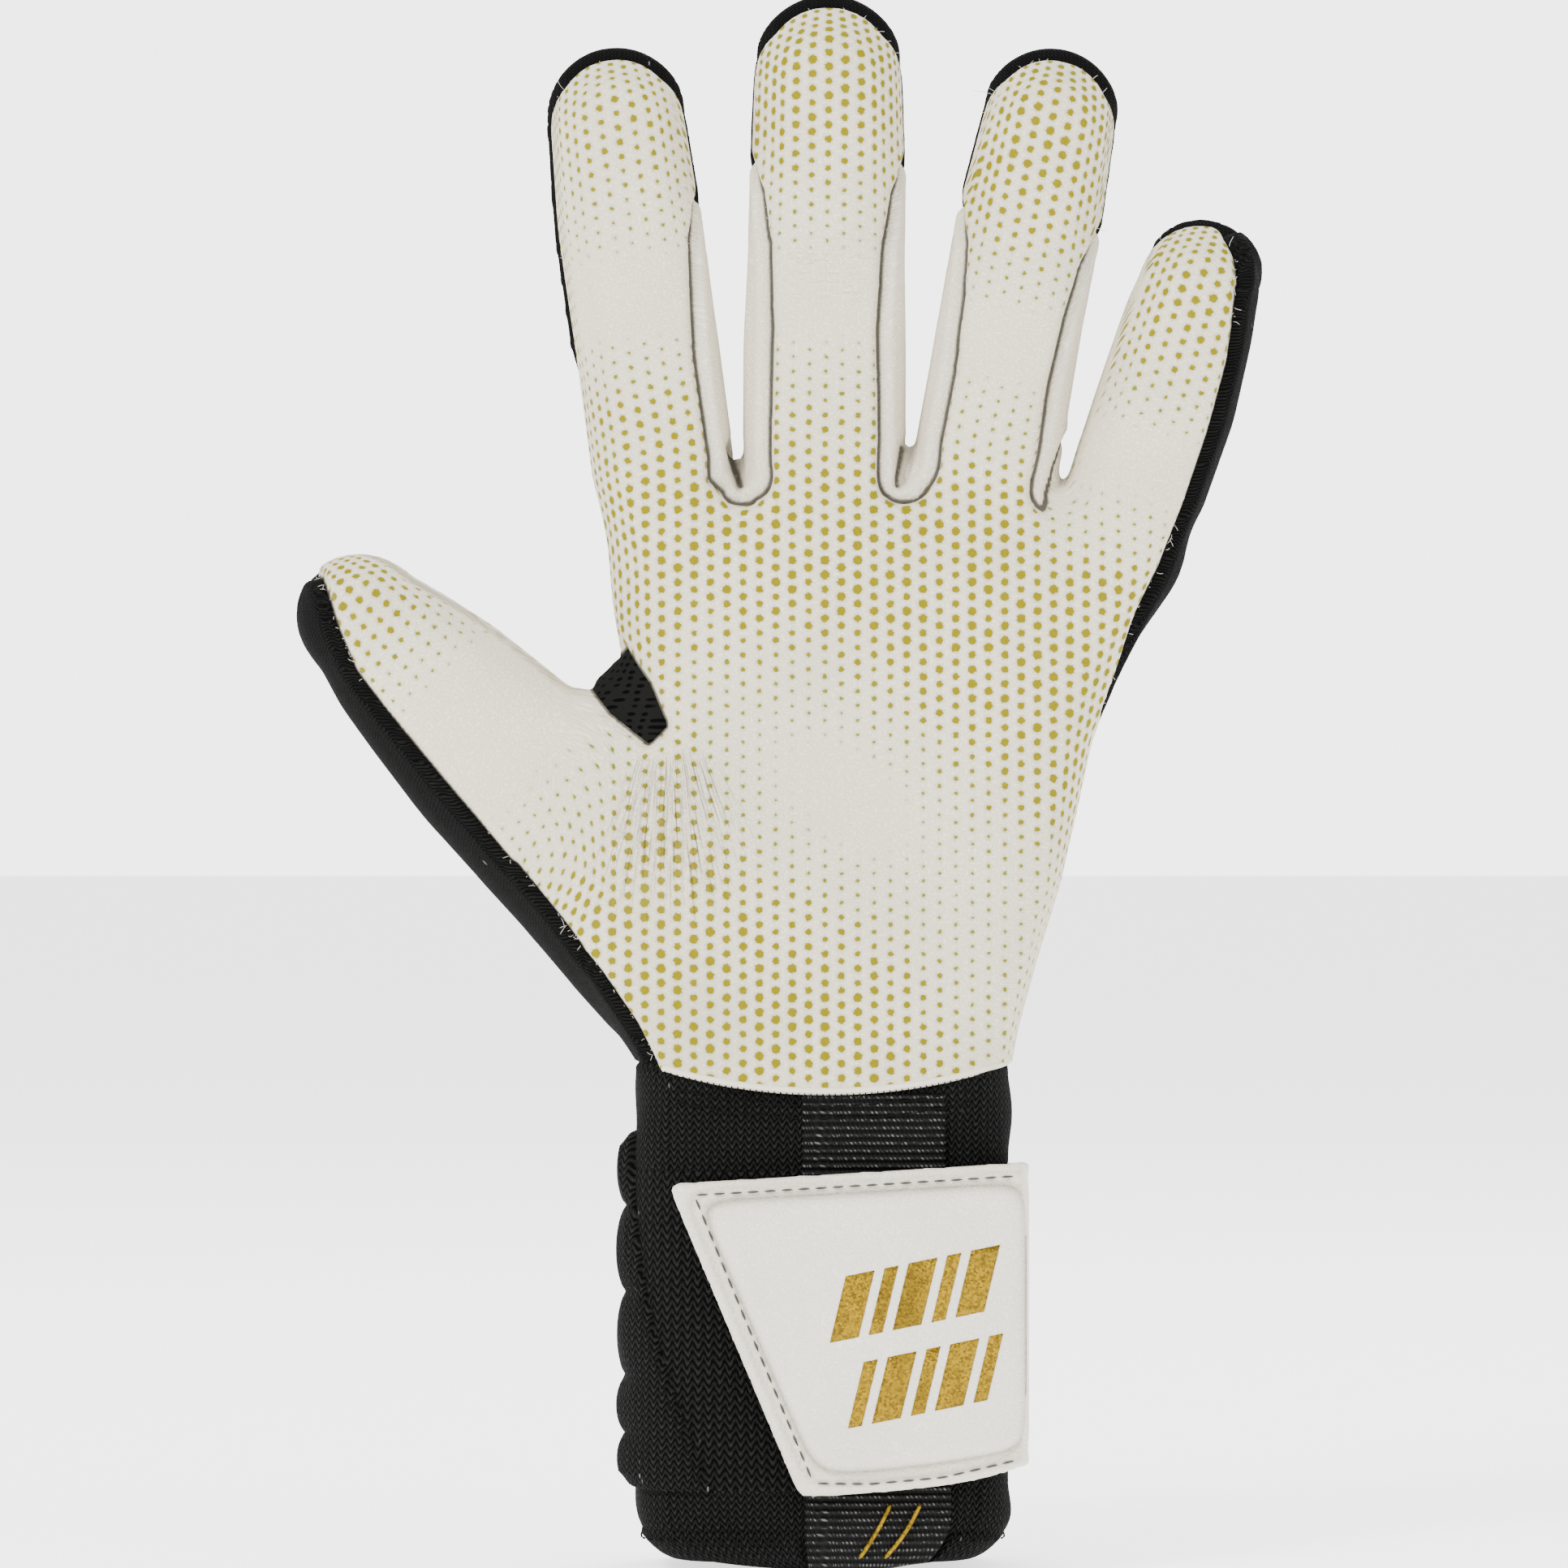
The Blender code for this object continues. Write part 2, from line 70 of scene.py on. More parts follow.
class Digit:
    def __init__(self, name, reach, edges, front, back):
        root, middle = JOINTS[name + "_knuckle"], JOINTS[name + "_middle_joint"]
        self.name = name
        self.root = np.array(root["pos_m"]) / MM
        self.across = np.array(root["axis"], float)
        self.along = np.array([-self.across[2], 0, self.across[0]])
        self.middle = float((np.array(middle["pos_m"]) / MM - self.root) @ self.along)
        self.reach = reach
        self.edges = np.array(edges, float)
        self.front, self.back = front, back

    def local(self, points):
        """(u, s) of world points."""
        away = points - self.root
        return away @ self.across, away @ self.along

    def place(self, u, y, s):
        """World points from arrays of u, y and s, with y measured from the hand's middle plane."""
        flat = self.root * (1, 0, 1) + np.array([0, MID_Y, 0])
        return flat + np.outer(u, self.across) + np.outer(s, self.along) + np.outer(y, (0, 1, 0))

    def edge(self, s):
        low = np.interp(s, self.edges[:, 0], self.edges[:, 1])
        return low, np.interp(s, self.edges[:, 0], self.edges[:, 2])

    def world(self, s, y=0.0):
        return self.place(np.array([0.0]), np.array([y]), np.array([float(s)]))[0]


MID_Y = 2.7  # the plane half way between palm and back
SHIFT_X = 0.8

# Rows of (s, lowest u, highest u): the digit's outline
DIGITS = {
    "index": Digit("index", 82.4, [
        (-26, -7, 8), (-8, -13, 13), (0, -13.6, 13.6), (26, -13.8, 13.4), (50, -14.4, 12.6),
        (72, -13.2, 11.6),
    ], 13.2, 12.6),
    "middle": Digit("middle", 90.8, [
        (-26, -9, 9), (-8, -15, 15), (0, -15.6, 15.6), (26, -15.8, 15.4), (58, -14.4, 14.6),
        (79, -13.8, 13.6),
    ], 13.4, 12.8),
    "ring": Digit("ring", 80.8, [
        (-26, -8, 8), (-8, -13.6, 13.6), (0, -14, 14), (26, -14, 13.6), (50, -13.6, 13.2),
        (70, -12, 12.4),
    ], 13.2, 12.6),
    "little": Digit("little", 54.6, [
        (-26, -9, 3), (-12, -12, 9.8), (0, -13.6, 12.9), (20, -13, 13.8), (36, -12.4, 12.6),
        (46, -11, 11),
    ], 12.8, 12.2),
    "thumb": Digit("thumb", 59.6, [
        (-42, -25, 16), (-27, -24, 20), (-12, -23, 22), (0, -22.2, 18.6), (10, -21.2, 16.4),
        (28, -18.4, 14.6), (38, -16.6, 12.6), (46, -14, 10.6),
    ], 15.4, 14.4),
}
print({d.name: round(d.middle, 1) for d in DIGITS.values()})

# %% [markdown]
# ## Hand form
# Lofted sections for the palm and each digit are joined by a voxel remesh and smoothed, so that
# the valleys between the fingers and the thumb's web come out round.

# %% Lofts
VOXEL = 0.9
SECTION_POINTS = 48


def section(low, high, front, back, squareness):
    """One closed section: x from low to high, rounded to the front and back depths."""
    turn = np.linspace(0, 2 * math.pi, SECTION_POINTS, endpoint=False)
    side, facing = np.sin(turn), -np.cos(turn)
    x = (low + high) / 2 + (high - low) / 2 * np.sign(side) * np.abs(side) ** (2 / squareness)
    depth = np.where(facing < 0, front, back)
    return x, depth * np.sign(facing) * np.abs(facing) ** (2 / squareness)


def ring_faces(count):
    """Quads between rings of SECTION_POINTS, and a fan at each end."""
    faces = []
    for r in range(count - 1):
        for i in range(SECTION_POINTS):
            j = (i + 1) % SECTION_POINTS
            a, b = r * SECTION_POINTS, (r + 1) * SECTION_POINTS
            faces.append((a + i, a + j, b + j, b + i))
    faces.append(tuple(reversed(range(SECTION_POINTS))))
    faces.append(tuple(range((count - 1) * SECTION_POINTS, count * SECTION_POINTS)))
    return faces


def digit_loft(digit):
    start = digit.edges[0, 0]
    round_from = digit.reach - (digit.edges[-1, 2] - digit.edges[-1, 1]) * 0.56
    straight = np.linspace(start, round_from, 24, endpoint=False)
    tip = round_from + (digit.reach - round_from) * np.sin(np.linspace(0, math.pi / 2 - 0.08, 14))
    points = []
    for s in np.concatenate([straight, tip]):
        closing = math.sqrt(max(0.0, 1 - (max(0.0, s - round_from) / (digit.reach - round_from)) ** 2))
        low, high = digit.edge(min(s, round_from))
        middle, half = (low + high) / 2, (high - low) / 2 * closing
        taper = 1 - 0.10 * max(0.0, s) / digit.reach
        depth = closing ** 0.9 * taper
        u, y = section(middle - half, middle + half, digit.front * depth, digit.back * depth, 2.4)
        points.append(digit.place(u, y, np.full(len(u), s)))
    return np.concatenate(points), ring_faces(len(points))


# Rows of (z, x at the thumb side, x at the little-finger side): the outline of the palm
PALM_EDGES = np.array([
    (84, -27, 42.4), (96, -27.8, 43.2), (103, -32.8, 44.6), (116, -42, 48.2), (130, -41, 52.6),
    (145, -35, 56), (158, -30, 58.8), (168, -29.6, 62.8), (178, -31.4, 67), (186, -32.4, 70.8),
    (194, -33.4, 75), (207, -35.6, 81),
], float)


def palm_front(z):
    return 13.4 + (207 - z) * 0.064


def palm_back(z):
    return 12.8 + (207 - z) * 0.064


def palm_loft():
    points = []
    for z in np.concatenate([np.linspace(84, 196, 30), 196 + 10 * np.sin(np.linspace(0.15, 1.5, 8))]):
        closing = math.sqrt(max(0.0, 1 - (max(0.0, z - 196) / 10.2) ** 2))
        low = np.interp(z, PALM_EDGES[:, 0], PALM_EDGES[:, 1])
        high = np.interp(z, PALM_EDGES[:, 0], PALM_EDGES[:, 2])
        inset = (1 - closing) * 5
        x, y = section(low + inset, high - inset, palm_front(z) * closing, palm_back(z) * closing, 3.2)
        drop = 0.0026 * (x - 18) ** 2 * smooth_step(z, 165, 200)
        points.append(np.stack([x + SHIFT_X, y + MID_Y, z - drop], axis=1))
    return np.concatenate(points), ring_faces(len(points))


def filler(x, z, wide, deep, tall):
    """A rounded lump that fills the corner where two digits part."""
    points = []
    for t in np.linspace(-0.99, 0.99, 11):
        round_off = math.sqrt(1 - t * t)
        across, y = section(-wide * round_off, wide * round_off, deep * round_off, deep * round_off, 2.0)
        points.append(np.stack([across + x + SHIFT_X, y + MID_Y, 0 * y + z + tall * t], axis=1))
    return np.concatenate(points), ring_faces(len(points))


def smooth_step(value, low, high):
    t = np.clip((value - low) / (high - low), 0, 1)
    return t * t * (3 - 2 * t)


def remeshed(lofts):
    """The lofts joined into one closed skin, as points and triangles."""
    data = bmesh.new()
    for points, faces in lofts:
        made = [data.verts.new(p) for p in points]
        for face in faces:
            data.faces.new([made[i] for i in face])
    bmesh.ops.recalc_face_normals(data, faces=data.faces)
    mesh = bpy.data.meshes.new("form")
    data.to_mesh(mesh)
    data.free()
    form = bpy.data.objects.new("form", mesh)
    bpy.context.scene.collection.objects.link(form)
    modifier = form.modifiers.new("remesh", "REMESH")
    modifier.mode = "VOXEL"
    modifier.voxel_size = VOXEL
    graph = bpy.context.evaluated_depsgraph_get()
    result = form.evaluated_get(graph).to_mesh()
    result.calc_loop_triangles()
    points = np.empty(len(result.vertices) * 3, np.float32)
    result.vertices.foreach_get("co", points)
    triangles = np.empty(len(result.loop_triangles) * 3, np.int32)
    result.loop_triangles.foreach_get("vertices", triangles)
    bpy.data.objects.remove(form, do_unlink=True)
    bpy.data.meshes.remove(mesh)
    return points.reshape(-1, 3).astype(float), triangles.reshape(-1, 3)


def edges_of(triangles):
    pairs = np.concatenate([triangles[:, [0, 1]], triangles[:, [1, 2]], triangles[:, [2, 0]]])
    return np.unique(np.sort(pairs, axis=1), axis=0)


def smoothed(points, triangles, times, weight):
    """Each point moved towards its neighbours' mean; weight is one value for each point."""
    edges = edges_of(triangles)
    count = np.bincount(edges.reshape(-1), minlength=len(points))[:, None]
    for _ in range(times):
        total = np.zeros_like(points)
        for axis in range(3):
            ends = points[edges][:, :, axis]
            total[:, axis] = np.bincount(edges[:, 0], ends[:, 1], len(points))
            total[:, axis] += np.bincount(edges[:, 1], ends[:, 0], len(points))
        points = points + (total / count - points) * weight[:, None]
    return points


def junction_weight(points):
    """1 where the digits meet the palm, 0 along the digits."""
    near = np.zeros(len(points))
    for digit in DIGITS.values():
        u, s = digit.local(points)
        thumb = digit.name == "thumb"
        inside = 1 - smooth_step(np.abs(u), 26, 38) if thumb else 1 - smooth_step(np.abs(u), 17, 22)
        middle, below, above = (-6, 30, 22) if thumb else (-8, 20, 12)
        away = np.where(s < middle, (middle - s) / below, (s - middle) / above)
        near = np.maximum(near, inside * (1 - smooth_step(away, 0.3, 1)))
    return near


def bump(points, x, z, radius, height):
    away = ((points[:, 0] - x) ** 2 + (points[:, 2] - z) ** 2) / radius**2
    return height * np.exp(-away)


def sculpted(points):
    """The pads of the palm, on its front half only."""
    facing = smooth_step(-(points[:, 1] - MID_Y), 4, 14)
    rise = bump(points, -30, 131, 24, 2.6) + bump(points, 34, 118, 22, 1.4)
    rise += bump(points, 14, 150, 22, -2.4) + bump(points, 20, 190, 26, 0.8)
    moved = points.copy()
    moved[:, 1] -= rise * facing
    return moved


lofts = [palm_loft()] + [digit_loft(digit) for digit in DIGITS.values()]
lofts.append(filler(x=52, z=199, wide=6, deep=10, tall=7))  # between ring and little finger
lofts.append(filler(x=-31, z=165, wide=7, deep=8, tall=8))  # between thumb and index finger
points, triangles = remeshed(lofts)
points = smoothed(points, triangles, 6, np.full(len(points), 0.5))
points = smoothed(points, triangles, 70, 0.6 * junction_weight(points))
points = sculpted(points)
print(len(points), "points in the hand form")


# %% [markdown]
# ## Seams
# Each seam is where a height field over the form meets the skin: the latex lies on the palm side
# of one field, the backhand on the back side of another, and gussets or side strips between
# them. The skin's triangles are cut along the seams, and square across each digit where one
# joint's bend ends and the next begins.

# %% Seam fields
OPEN = 3.0  # where latex and backhand meet directly, just behind the widest line
LINE = 1.4  # the same at the index finger's outer side, where a thin black line shows
TIP = -3.8  # the same at the fingertips, where the backhand shows as a black arc

# Rows of (s, palm-side seam, back-side seam) up each digit, at its low-u and its high-u side
GUSSET = [
    (-8, -10.6, 7.5), (24, -10.4, 7.2), (34, -9.3, 6.6), (45, -7.6, 5.2), (51, -4.6, 4), (55, OPEN, OPEN),
]
LONG_GUSSET = [
    (-8, -10.7, 7.5), (28, -10.5, 7.2), (44, -9.4, 6.4), (54, -7, 5), (59, -3, 3.6), (62, OPEN, OPEN),
    (79, OPEN, OPEN), (85, TIP, TIP),
]
SHORT_GUSSET = [
    (-8, -10.6, 7.5), (18, -10.3, 7.2), (32, -9.2, 6.4), (42, -7.4, 5), (48, -3.6, 3.6), (51, OPEN, OPEN),
    (69, OPEN, OPEN), (75, TIP, TIP),
]
PLAIN = [(-8, LINE, LINE), (71, LINE, LINE), (78, TIP, TIP)]
INDEX_GUSSET = GUSSET + [(70, OPEN, OPEN), (77, TIP, TIP)]
INNER_LITTLE = [(-8, 5, 5), (42, 5, 5), (54, -1, -1)]
LITTLE_STRIP = [(-8, -7.5, 9), (30, -9.2, 8.6), (44, -10, 8.4), (50, -7.4, 5), (54, -2, 0)]
THUMB_STRIP = [(-30, -13.2, 9), (40, -12.6, 9), (48, -10.4, 7), (54, -6, 3.4), (58, -1, 0)]
SEAMS = {
    "index": (PLAIN, INDEX_GUSSET),
    "middle": (LONG_GUSSET, LONG_GUSSET),
    "ring": (SHORT_GUSSET, SHORT_GUSSET),
    "little": (INNER_LITTLE, LITTLE_STRIP),
    "thumb": (THUMB_STRIP, [(-8, 3, 3), (60, 3, 3)]),
}
# Rows of (z, palm-side seam, back-side seam) down the palm's two sides
PALM_LEFT = np.array([(84, -12, 11), (100, -13.4, 11), (134, -13.4, 9), (160, LINE, LINE), (207, LINE, LINE)])
PALM_RIGHT = np.array([
    (84, 1, 9), (157, 1, 9), (164, -2, 9), (176, -5.5, 9), (190, -6.5, 9), (207, -7.5, 9),
])
# Where each digit leaves the hand, and where its first bend ends and its second begins
LEAVES = {"index": -1, "middle": -1, "ring": -1, "little": -1, "thumb": 3}
HALFWAY = {"index": 22, "middle": 24, "ring": 21.5, "little": 15.5, "thumb": 20}
WEB = np.array([(-25.8, 157.2), (-22.4, 160.6), (-25.6, 168.4), (-30.4, 175.2), (-38, 169.5), (-33, 163)])


def seam_heights(points):
    """The two seam fields at each point, from the palm's sides and the digit that it is on."""
    x, z = points[:, 0] - SHIFT_X, points[:, 2]
    low, high = (np.interp(z, PALM_EDGES[:, 0], PALM_EDGES[:, side]) for side in (1, 2))
    across = smooth_step((x - low) / (high - low), 0.12, 0.3)
    heights = []
    for column in (1, 2):
        left = np.interp(z, PALM_LEFT[:, 0], PALM_LEFT[:, column])
        right = np.interp(z, PALM_RIGHT[:, 0], PALM_RIGHT[:, column])
        middle = (-10, 7.5)[column - 1]
        top = np.where(across < 1, left + (middle - left) * across, middle)
        top = top + (right - middle) * smooth_step((x - low) / (high - low), 0.7, 0.88)
        heights.append(top)
    for digit in DIGITS.values():
        u, s = digit.local(points)
        low, high = digit.edge(s)
        margin = 3
        inside = (u > low - margin) & (u < high + margin)
        on = inside * smooth_step(s, -8, 0)
        share = smooth_step((u - (low + high) / 2) / (high - low), -0.3, 0.3)
        for column in (1, 2):
            sides = [np.interp(s, *np.array(rows, float)[:, [0, column]].T) for rows in SEAMS[digit.name]]
            value = sides[0] + (sides[1] - sides[0]) * share
            heights[column - 1] = heights[column - 1] * (1 - on) + value * on
    return heights[0] + MID_Y, heights[1] + MID_Y


def inside_outline(points, outline):
    """Distance inside a convex outline in x and z, negative outside."""
    best = np.full(len(points), 1e9)
    for (x0, z0), (x1, z1) in zip(outline, np.roll(outline, -1, axis=0)):
        length = math.hypot(x1 - x0, z1 - z0)
        away = ((x1 - x0) * (points[:, 2] - z0) - (z1 - z0) * (points[:, 0] - x0)) / length
        best = np.minimum(best, away)
    return best


def hem_height(x):
    """z of the palm latex's curved lower edge."""
    return 91 + 0.0044 * (x - 8 - SHIFT_X) ** 2


def palm_hem(points):
    """How far above the palm latex's lower edge a point is."""
    return points[:, 2] - hem_height(points[:, 0])


def digit_depth(points, digit, start):
    """How far past a cut square across a digit a point is, kept to that digit's own width."""
    u, s = digit.local(points)
    low, high = digit.edge(s)
    room = 12 if digit.name == "thumb" else 4
    return np.minimum(s - start, np.minimum(u - low + room, high + 4 - u))


# Where the latex ends at the black side strips, seen from the front: rows of (z, x)
NO_STRIP = 200.0
THUMB_SEAM = [
    (84, -22), (96.3, -24.9), (103.6, -28.4), (113.5, -35.2), (121.3, -41.6), (136.1, -53.5), (151, -65.9),
    (162.8, -75.7), (170.7, -81.7), (179.2, -85.1), (184.1, -86.6), (189.6, -88.8), (191, -NO_STRIP),
]
LITTLE_SEAM = [
    (161, NO_STRIP), (163.6, 60.7), (173.1, 64.6), (182.6, 68.1), (190.9, 72.2), (201.6, 76.4), (215.8, 81.2),
    (228.9, 84.8), (235.9, 86.5), (244.7, 86.9), (250.2, 86.3), (254.7, 84.3), (256, NO_STRIP),
]


def inside_strips(points):
    """How far in from the black side strips a point is, seen from the front."""
    x, z = points[:, 0] - SHIFT_X, points[:, 2]
    left = x - np.interp(z, *np.array(THUMB_SEAM, float).T)
    right = np.interp(z, *np.array(LITTLE_SEAM, float).T) - x
    return np.minimum(left, right)


def fields_of(points):
    front, back = seam_heights(points)
    y = points[:, 1]
    web = np.minimum(inside_outline(points, WEB + (SHIFT_X, 0)), back - y)
    latex_side = np.minimum(np.minimum(front - y, inside_strips(points)), -web)
    columns = [latex_side, y - back, web, palm_hem(points)]
    columns += [digit_depth(points, d, LEAVES[d.name]) for d in DIGITS.values()]
    columns += [digit_depth(points, d, HALFWAY[d.name]) for d in DIGITS.values()]
    return np.stack(columns, axis=1)


# %% Cutting along the seams
def cut_along(points, triangles, fields, column, snap=0.06):
    """Splits the triangles that a field's zero line crosses. fields is carried along."""
    fields = fields.copy()
    fields[np.abs(fields[:, column]) < snap, column] = 0
    value = fields[:, column]
    edges = edges_of(triangles)
    crossed = edges[value[edges[:, 0]] * value[edges[:, 1]] < 0]
    share = value[crossed[:, 0]] / (value[crossed[:, 0]] - value[crossed[:, 1]])
    start, end = crossed.T
    new_points, new_fields = (a[start] + (a[end] - a[start]) * share[:, None] for a in (points, fields))
    new_fields[:, column] = 0
    key = {(int(a), int(b)): len(points) + i for i, (a, b) in enumerate(crossed)}
    touched = np.zeros(len(points), bool)
    touched[crossed.reshape(-1)] = True
    sign = np.sign(value)
    signs = sign[triangles]
    splits = (signs.min(axis=1) < 0) & (signs.max(axis=1) > 0)
    made = []
    for tri in triangles[splits]:
        corners = [int(v) for v in tri]
        ring = []
        for a, b in zip(corners, corners[1:] + corners[:1]):
            ring.append((a, sign[a]))
            new = key.get((min(a, b), max(a, b)))
            if new is not None:
                ring.append((new, 0))
        for wanted in (1, -1):
            part = [v for v, s in ring if s in (0, wanted)]
            made += [(part[0], part[i], part[i + 1]) for i in range(1, len(part) - 1)]
    kept = np.concatenate([triangles[~splits], np.array(made, int).reshape(-1, 3)])
    return np.concatenate([points, new_points]), kept, np.concatenate([fields, new_fields])


fields = fields_of(points)
for column in range(fields.shape[1]):
    points, triangles, fields = cut_along(points, triangles, fields, column)
print(len(triangles), "triangles after cutting")

# %% Regions and segments
FRONT, BACK, WEB_AT, HEM = range(4)
LATEX, BACKHAND, WEBBED, SIDE = range(4)
REGIONS = ("latex", "back", "web", "side")
SEGMENTS = ["root"] + [f"{name}_{part}" for part in ("base", "tip") for name in DIGITS]


def sums(column):
    return fields[triangles, column].sum(axis=1)


region = np.full(len(triangles), SIDE)
region[sums(FRONT) > 0] = LATEX
region[sums(BACK) > 0] = BACKHAND
region[sums(WEB_AT) > 0] = WEBBED
segment = np.zeros(len(triangles), int)
for i in range(len(DIGITS)):
    segment[sums(4 + i) > 0] = 1 + i
    segment[sums(4 + len(DIGITS) + i) > 0] = 1 + len(DIGITS) + i
used = sums(HEM) > 0
triangles, region, segment = triangles[used], region[used], segment[used]
print({name: int((region == i).sum()) for i, name in enumerate(REGIONS)})

# %% [markdown]
# ## Seam relief
# A sewn seam sinks between two rolled edges. Every point's distance to the nearest seam gives the
# groove, and the black backhand is let out a little there, so that it shows past the latex.

# %% Groove and rolled edges
SEAM_SINK = 1.3
SEAM_REACH = 1.3
BACK_LET_OUT = 1.3  # at the fingertips
EDGE_LET_OUT = 0.35
GUSSET_LET_OUT = 0.6
LATEX_LET_OUT = 0.3
# Folds where two neighbouring gussets close on each other: x and z of the lower and upper end
SLITS = [(-8.4, 206.4, -9.6, 214), (21.8, 206.4, 23.4, 214)]


def distance_to(points, targets):
    tree = kdtree.KDTree(len(targets))
    for i, target in enumerate(targets):
        tree.insert(target, i)
    tree.balance()
    return np.array([tree.find(point)[2] for point in points])


def normals_of(points, triangles):
    a, b, c = (points[triangles[:, k]] for k in range(3))
    face = np.cross(b - a, c - a)
    total = np.zeros_like(points)
    for k in range(3):
        for axis in range(3):
            total[:, axis] += np.bincount(triangles[:, k], face[:, axis], len(points))
    return total / np.maximum(np.linalg.norm(total, axis=1, keepdims=True), 1e-12)


def touching(mask):
    """Points that belong to at least one of the masked triangles."""
    touched = np.zeros(len(points), bool)
    touched[triangles[mask].reshape(-1)] = True
    return touched


def is_black_side(points):
    """The side strips of thumb and little finger are black, the gussets white."""
    x = points[:, 0] - SHIFT_X
    u, s = DIGITS["little"].local(points)
    little = (u > 0) & (x > 54) & (s > -60)
    u, s = DIGITS["thumb"].local(points)
    thumb = (u < 0) & (x < -22) & (points[:, 2] < 195)
    return little | thumb


belongs = np.stack([touching(region == i) for i in range(len(REGIONS))], axis=1)
seam_points = points[belongs.sum(axis=1) > 1]
to_seam = distance_to(points, seam_points)
outward = normals_of(points, triangles)
black = (belongs[:, BACKHAND] | belongs[:, SIDE] & is_black_side(points)) & ~belongs[:, LATEX]
white_side = belongs[:, SIDE] & ~is_black_side(points)
roll = np.exp(-(((to_seam - 2.3) / 1.7) ** 2))
tips = [smooth_step(d.local(points)[1], d.reach - 13, d.reach - 5) for d in DIGITS.values()]
at_tip = np.max(tips, axis=0) * (points[:, 2] > 220)
for x0, z0, x1, z1 in SLITS:
    share = np.clip((points[:, 2] - z0) / (z1 - z0), 0, 1)
    aside = points[:, 0] - SHIFT_X - x0 - (x1 - x0) * share
    nearest = np.hypot(aside, points[:, 2] - z0 - (z1 - z0) * share)
    to_seam = np.where(points[:, 1] < MID_Y + 4, np.minimum(to_seam, nearest + 0.1), to_seam)
let_out = np.where(white_side, GUSSET_LET_OUT, LATEX_LET_OUT)
let_out = np.where(black, EDGE_LET_OUT + BACK_LET_OUT * at_tip, let_out)
# The relief is calmer at the thumb's web and between ring and little finger
at_web = np.exp(-(((points[:, 0] + 29) / 9) ** 2) - ((points[:, 2] - 167) / 11) ** 2)
at_crotch = np.exp(-(((points[:, 0] - 54) / 8) ** 2) - ((points[:, 2] - 210) / 10) ** 2)
calm = (1 - 0.8 * at_web) * (1 - 0.75 * at_crotch)
lift = (let_out * roll - SEAM_SINK * np.exp(-((to_seam / SEAM_REACH) ** 2))) * calm
points = points + outward * lift[:, None]
print(len(seam_points), "seam points")

# %% [markdown]
# ## Backhand relief
# The backhand is not seen from the front. It gets what such gloves usually have: flex channels
# across each finger, and two shallow arched channels over the back of the hand.

# %% Flex channels
CHANNEL_DEPTH = 1.1


def channel(distance, width=1.2):
    return np.exp(-((distance / width) ** 2))


facing_back = smooth_step(points[:, 1] - MID_Y, 4, 9)
channels = np.zeros(len(points))
for digit in DIGITS.values():
    u, s = digit.local(points)
    low, high = digit.edge(s)
    inside = smooth_step(np.minimum(u - low, high - u), -1, 2)
    for at in (digit.middle - 9, digit.middle, digit.middle + 9):
        bowed = s - at + 0.012 * (u - (low + high) / 2) ** 2
        channels = np.maximum(channels, inside * channel(bowed))
x, z = points[:, 0] - SHIFT_X, points[:, 2]
for height in (172, 136):
    arch = z - height + 0.0052 * (x - 20) ** 2
    across = smooth_step(x, -24, -18) * (1 - smooth_step(x, 58, 64))
    channels = np.maximum(channels, channel(arch) * across)
points[:, 1] -= CHANNEL_DEPTH * channels * facing_back
print("deepest channel", round(float(channels.max()) * CHANNEL_DEPTH, 2), "mm")

# %% [markdown]
# ## Print and weave coordinates
# The palm's dots follow the hand on the palm and turn with each finger. They shrink and fade to
# plain zones at the fingers' middles and in the palm's hollow.

# %% Where the print goes
# Rows of (s, strength of the print) up each digit
PRINT_ROWS = {
    "index": [(-5, 1), (0, 0.9), (14, 0.75), (22, 0.3), (29, 0), (40, 0), (46, 0.12), (56, 0.4), (66, 0.7)],
    "middle": [(-5, 1), (0, 0.9), (9, 0.6), (20, 0.25), (28, 0), (42, 0.04), (52, 0.4), (62, 0.75), (74, 1)],
    "ring": [(-8, 0.8), (2, 0.5), (12, 0.2), (20, 0), (30, 0), (38, 0.3), (46, 0.7), (58, 1)],
    "little": [(-20, 0.7), (-8, 0.3), (0, 0.05), (12, 0), (18, 0.25), (28, 0.7), (40, 0.9)],
    "thumb": [(-24, 0.8), (-12, 0.45), (-2, 0.1), (6, 0), (26, 0), (34, 0.25), (42, 0.7), (52, 1)],
}


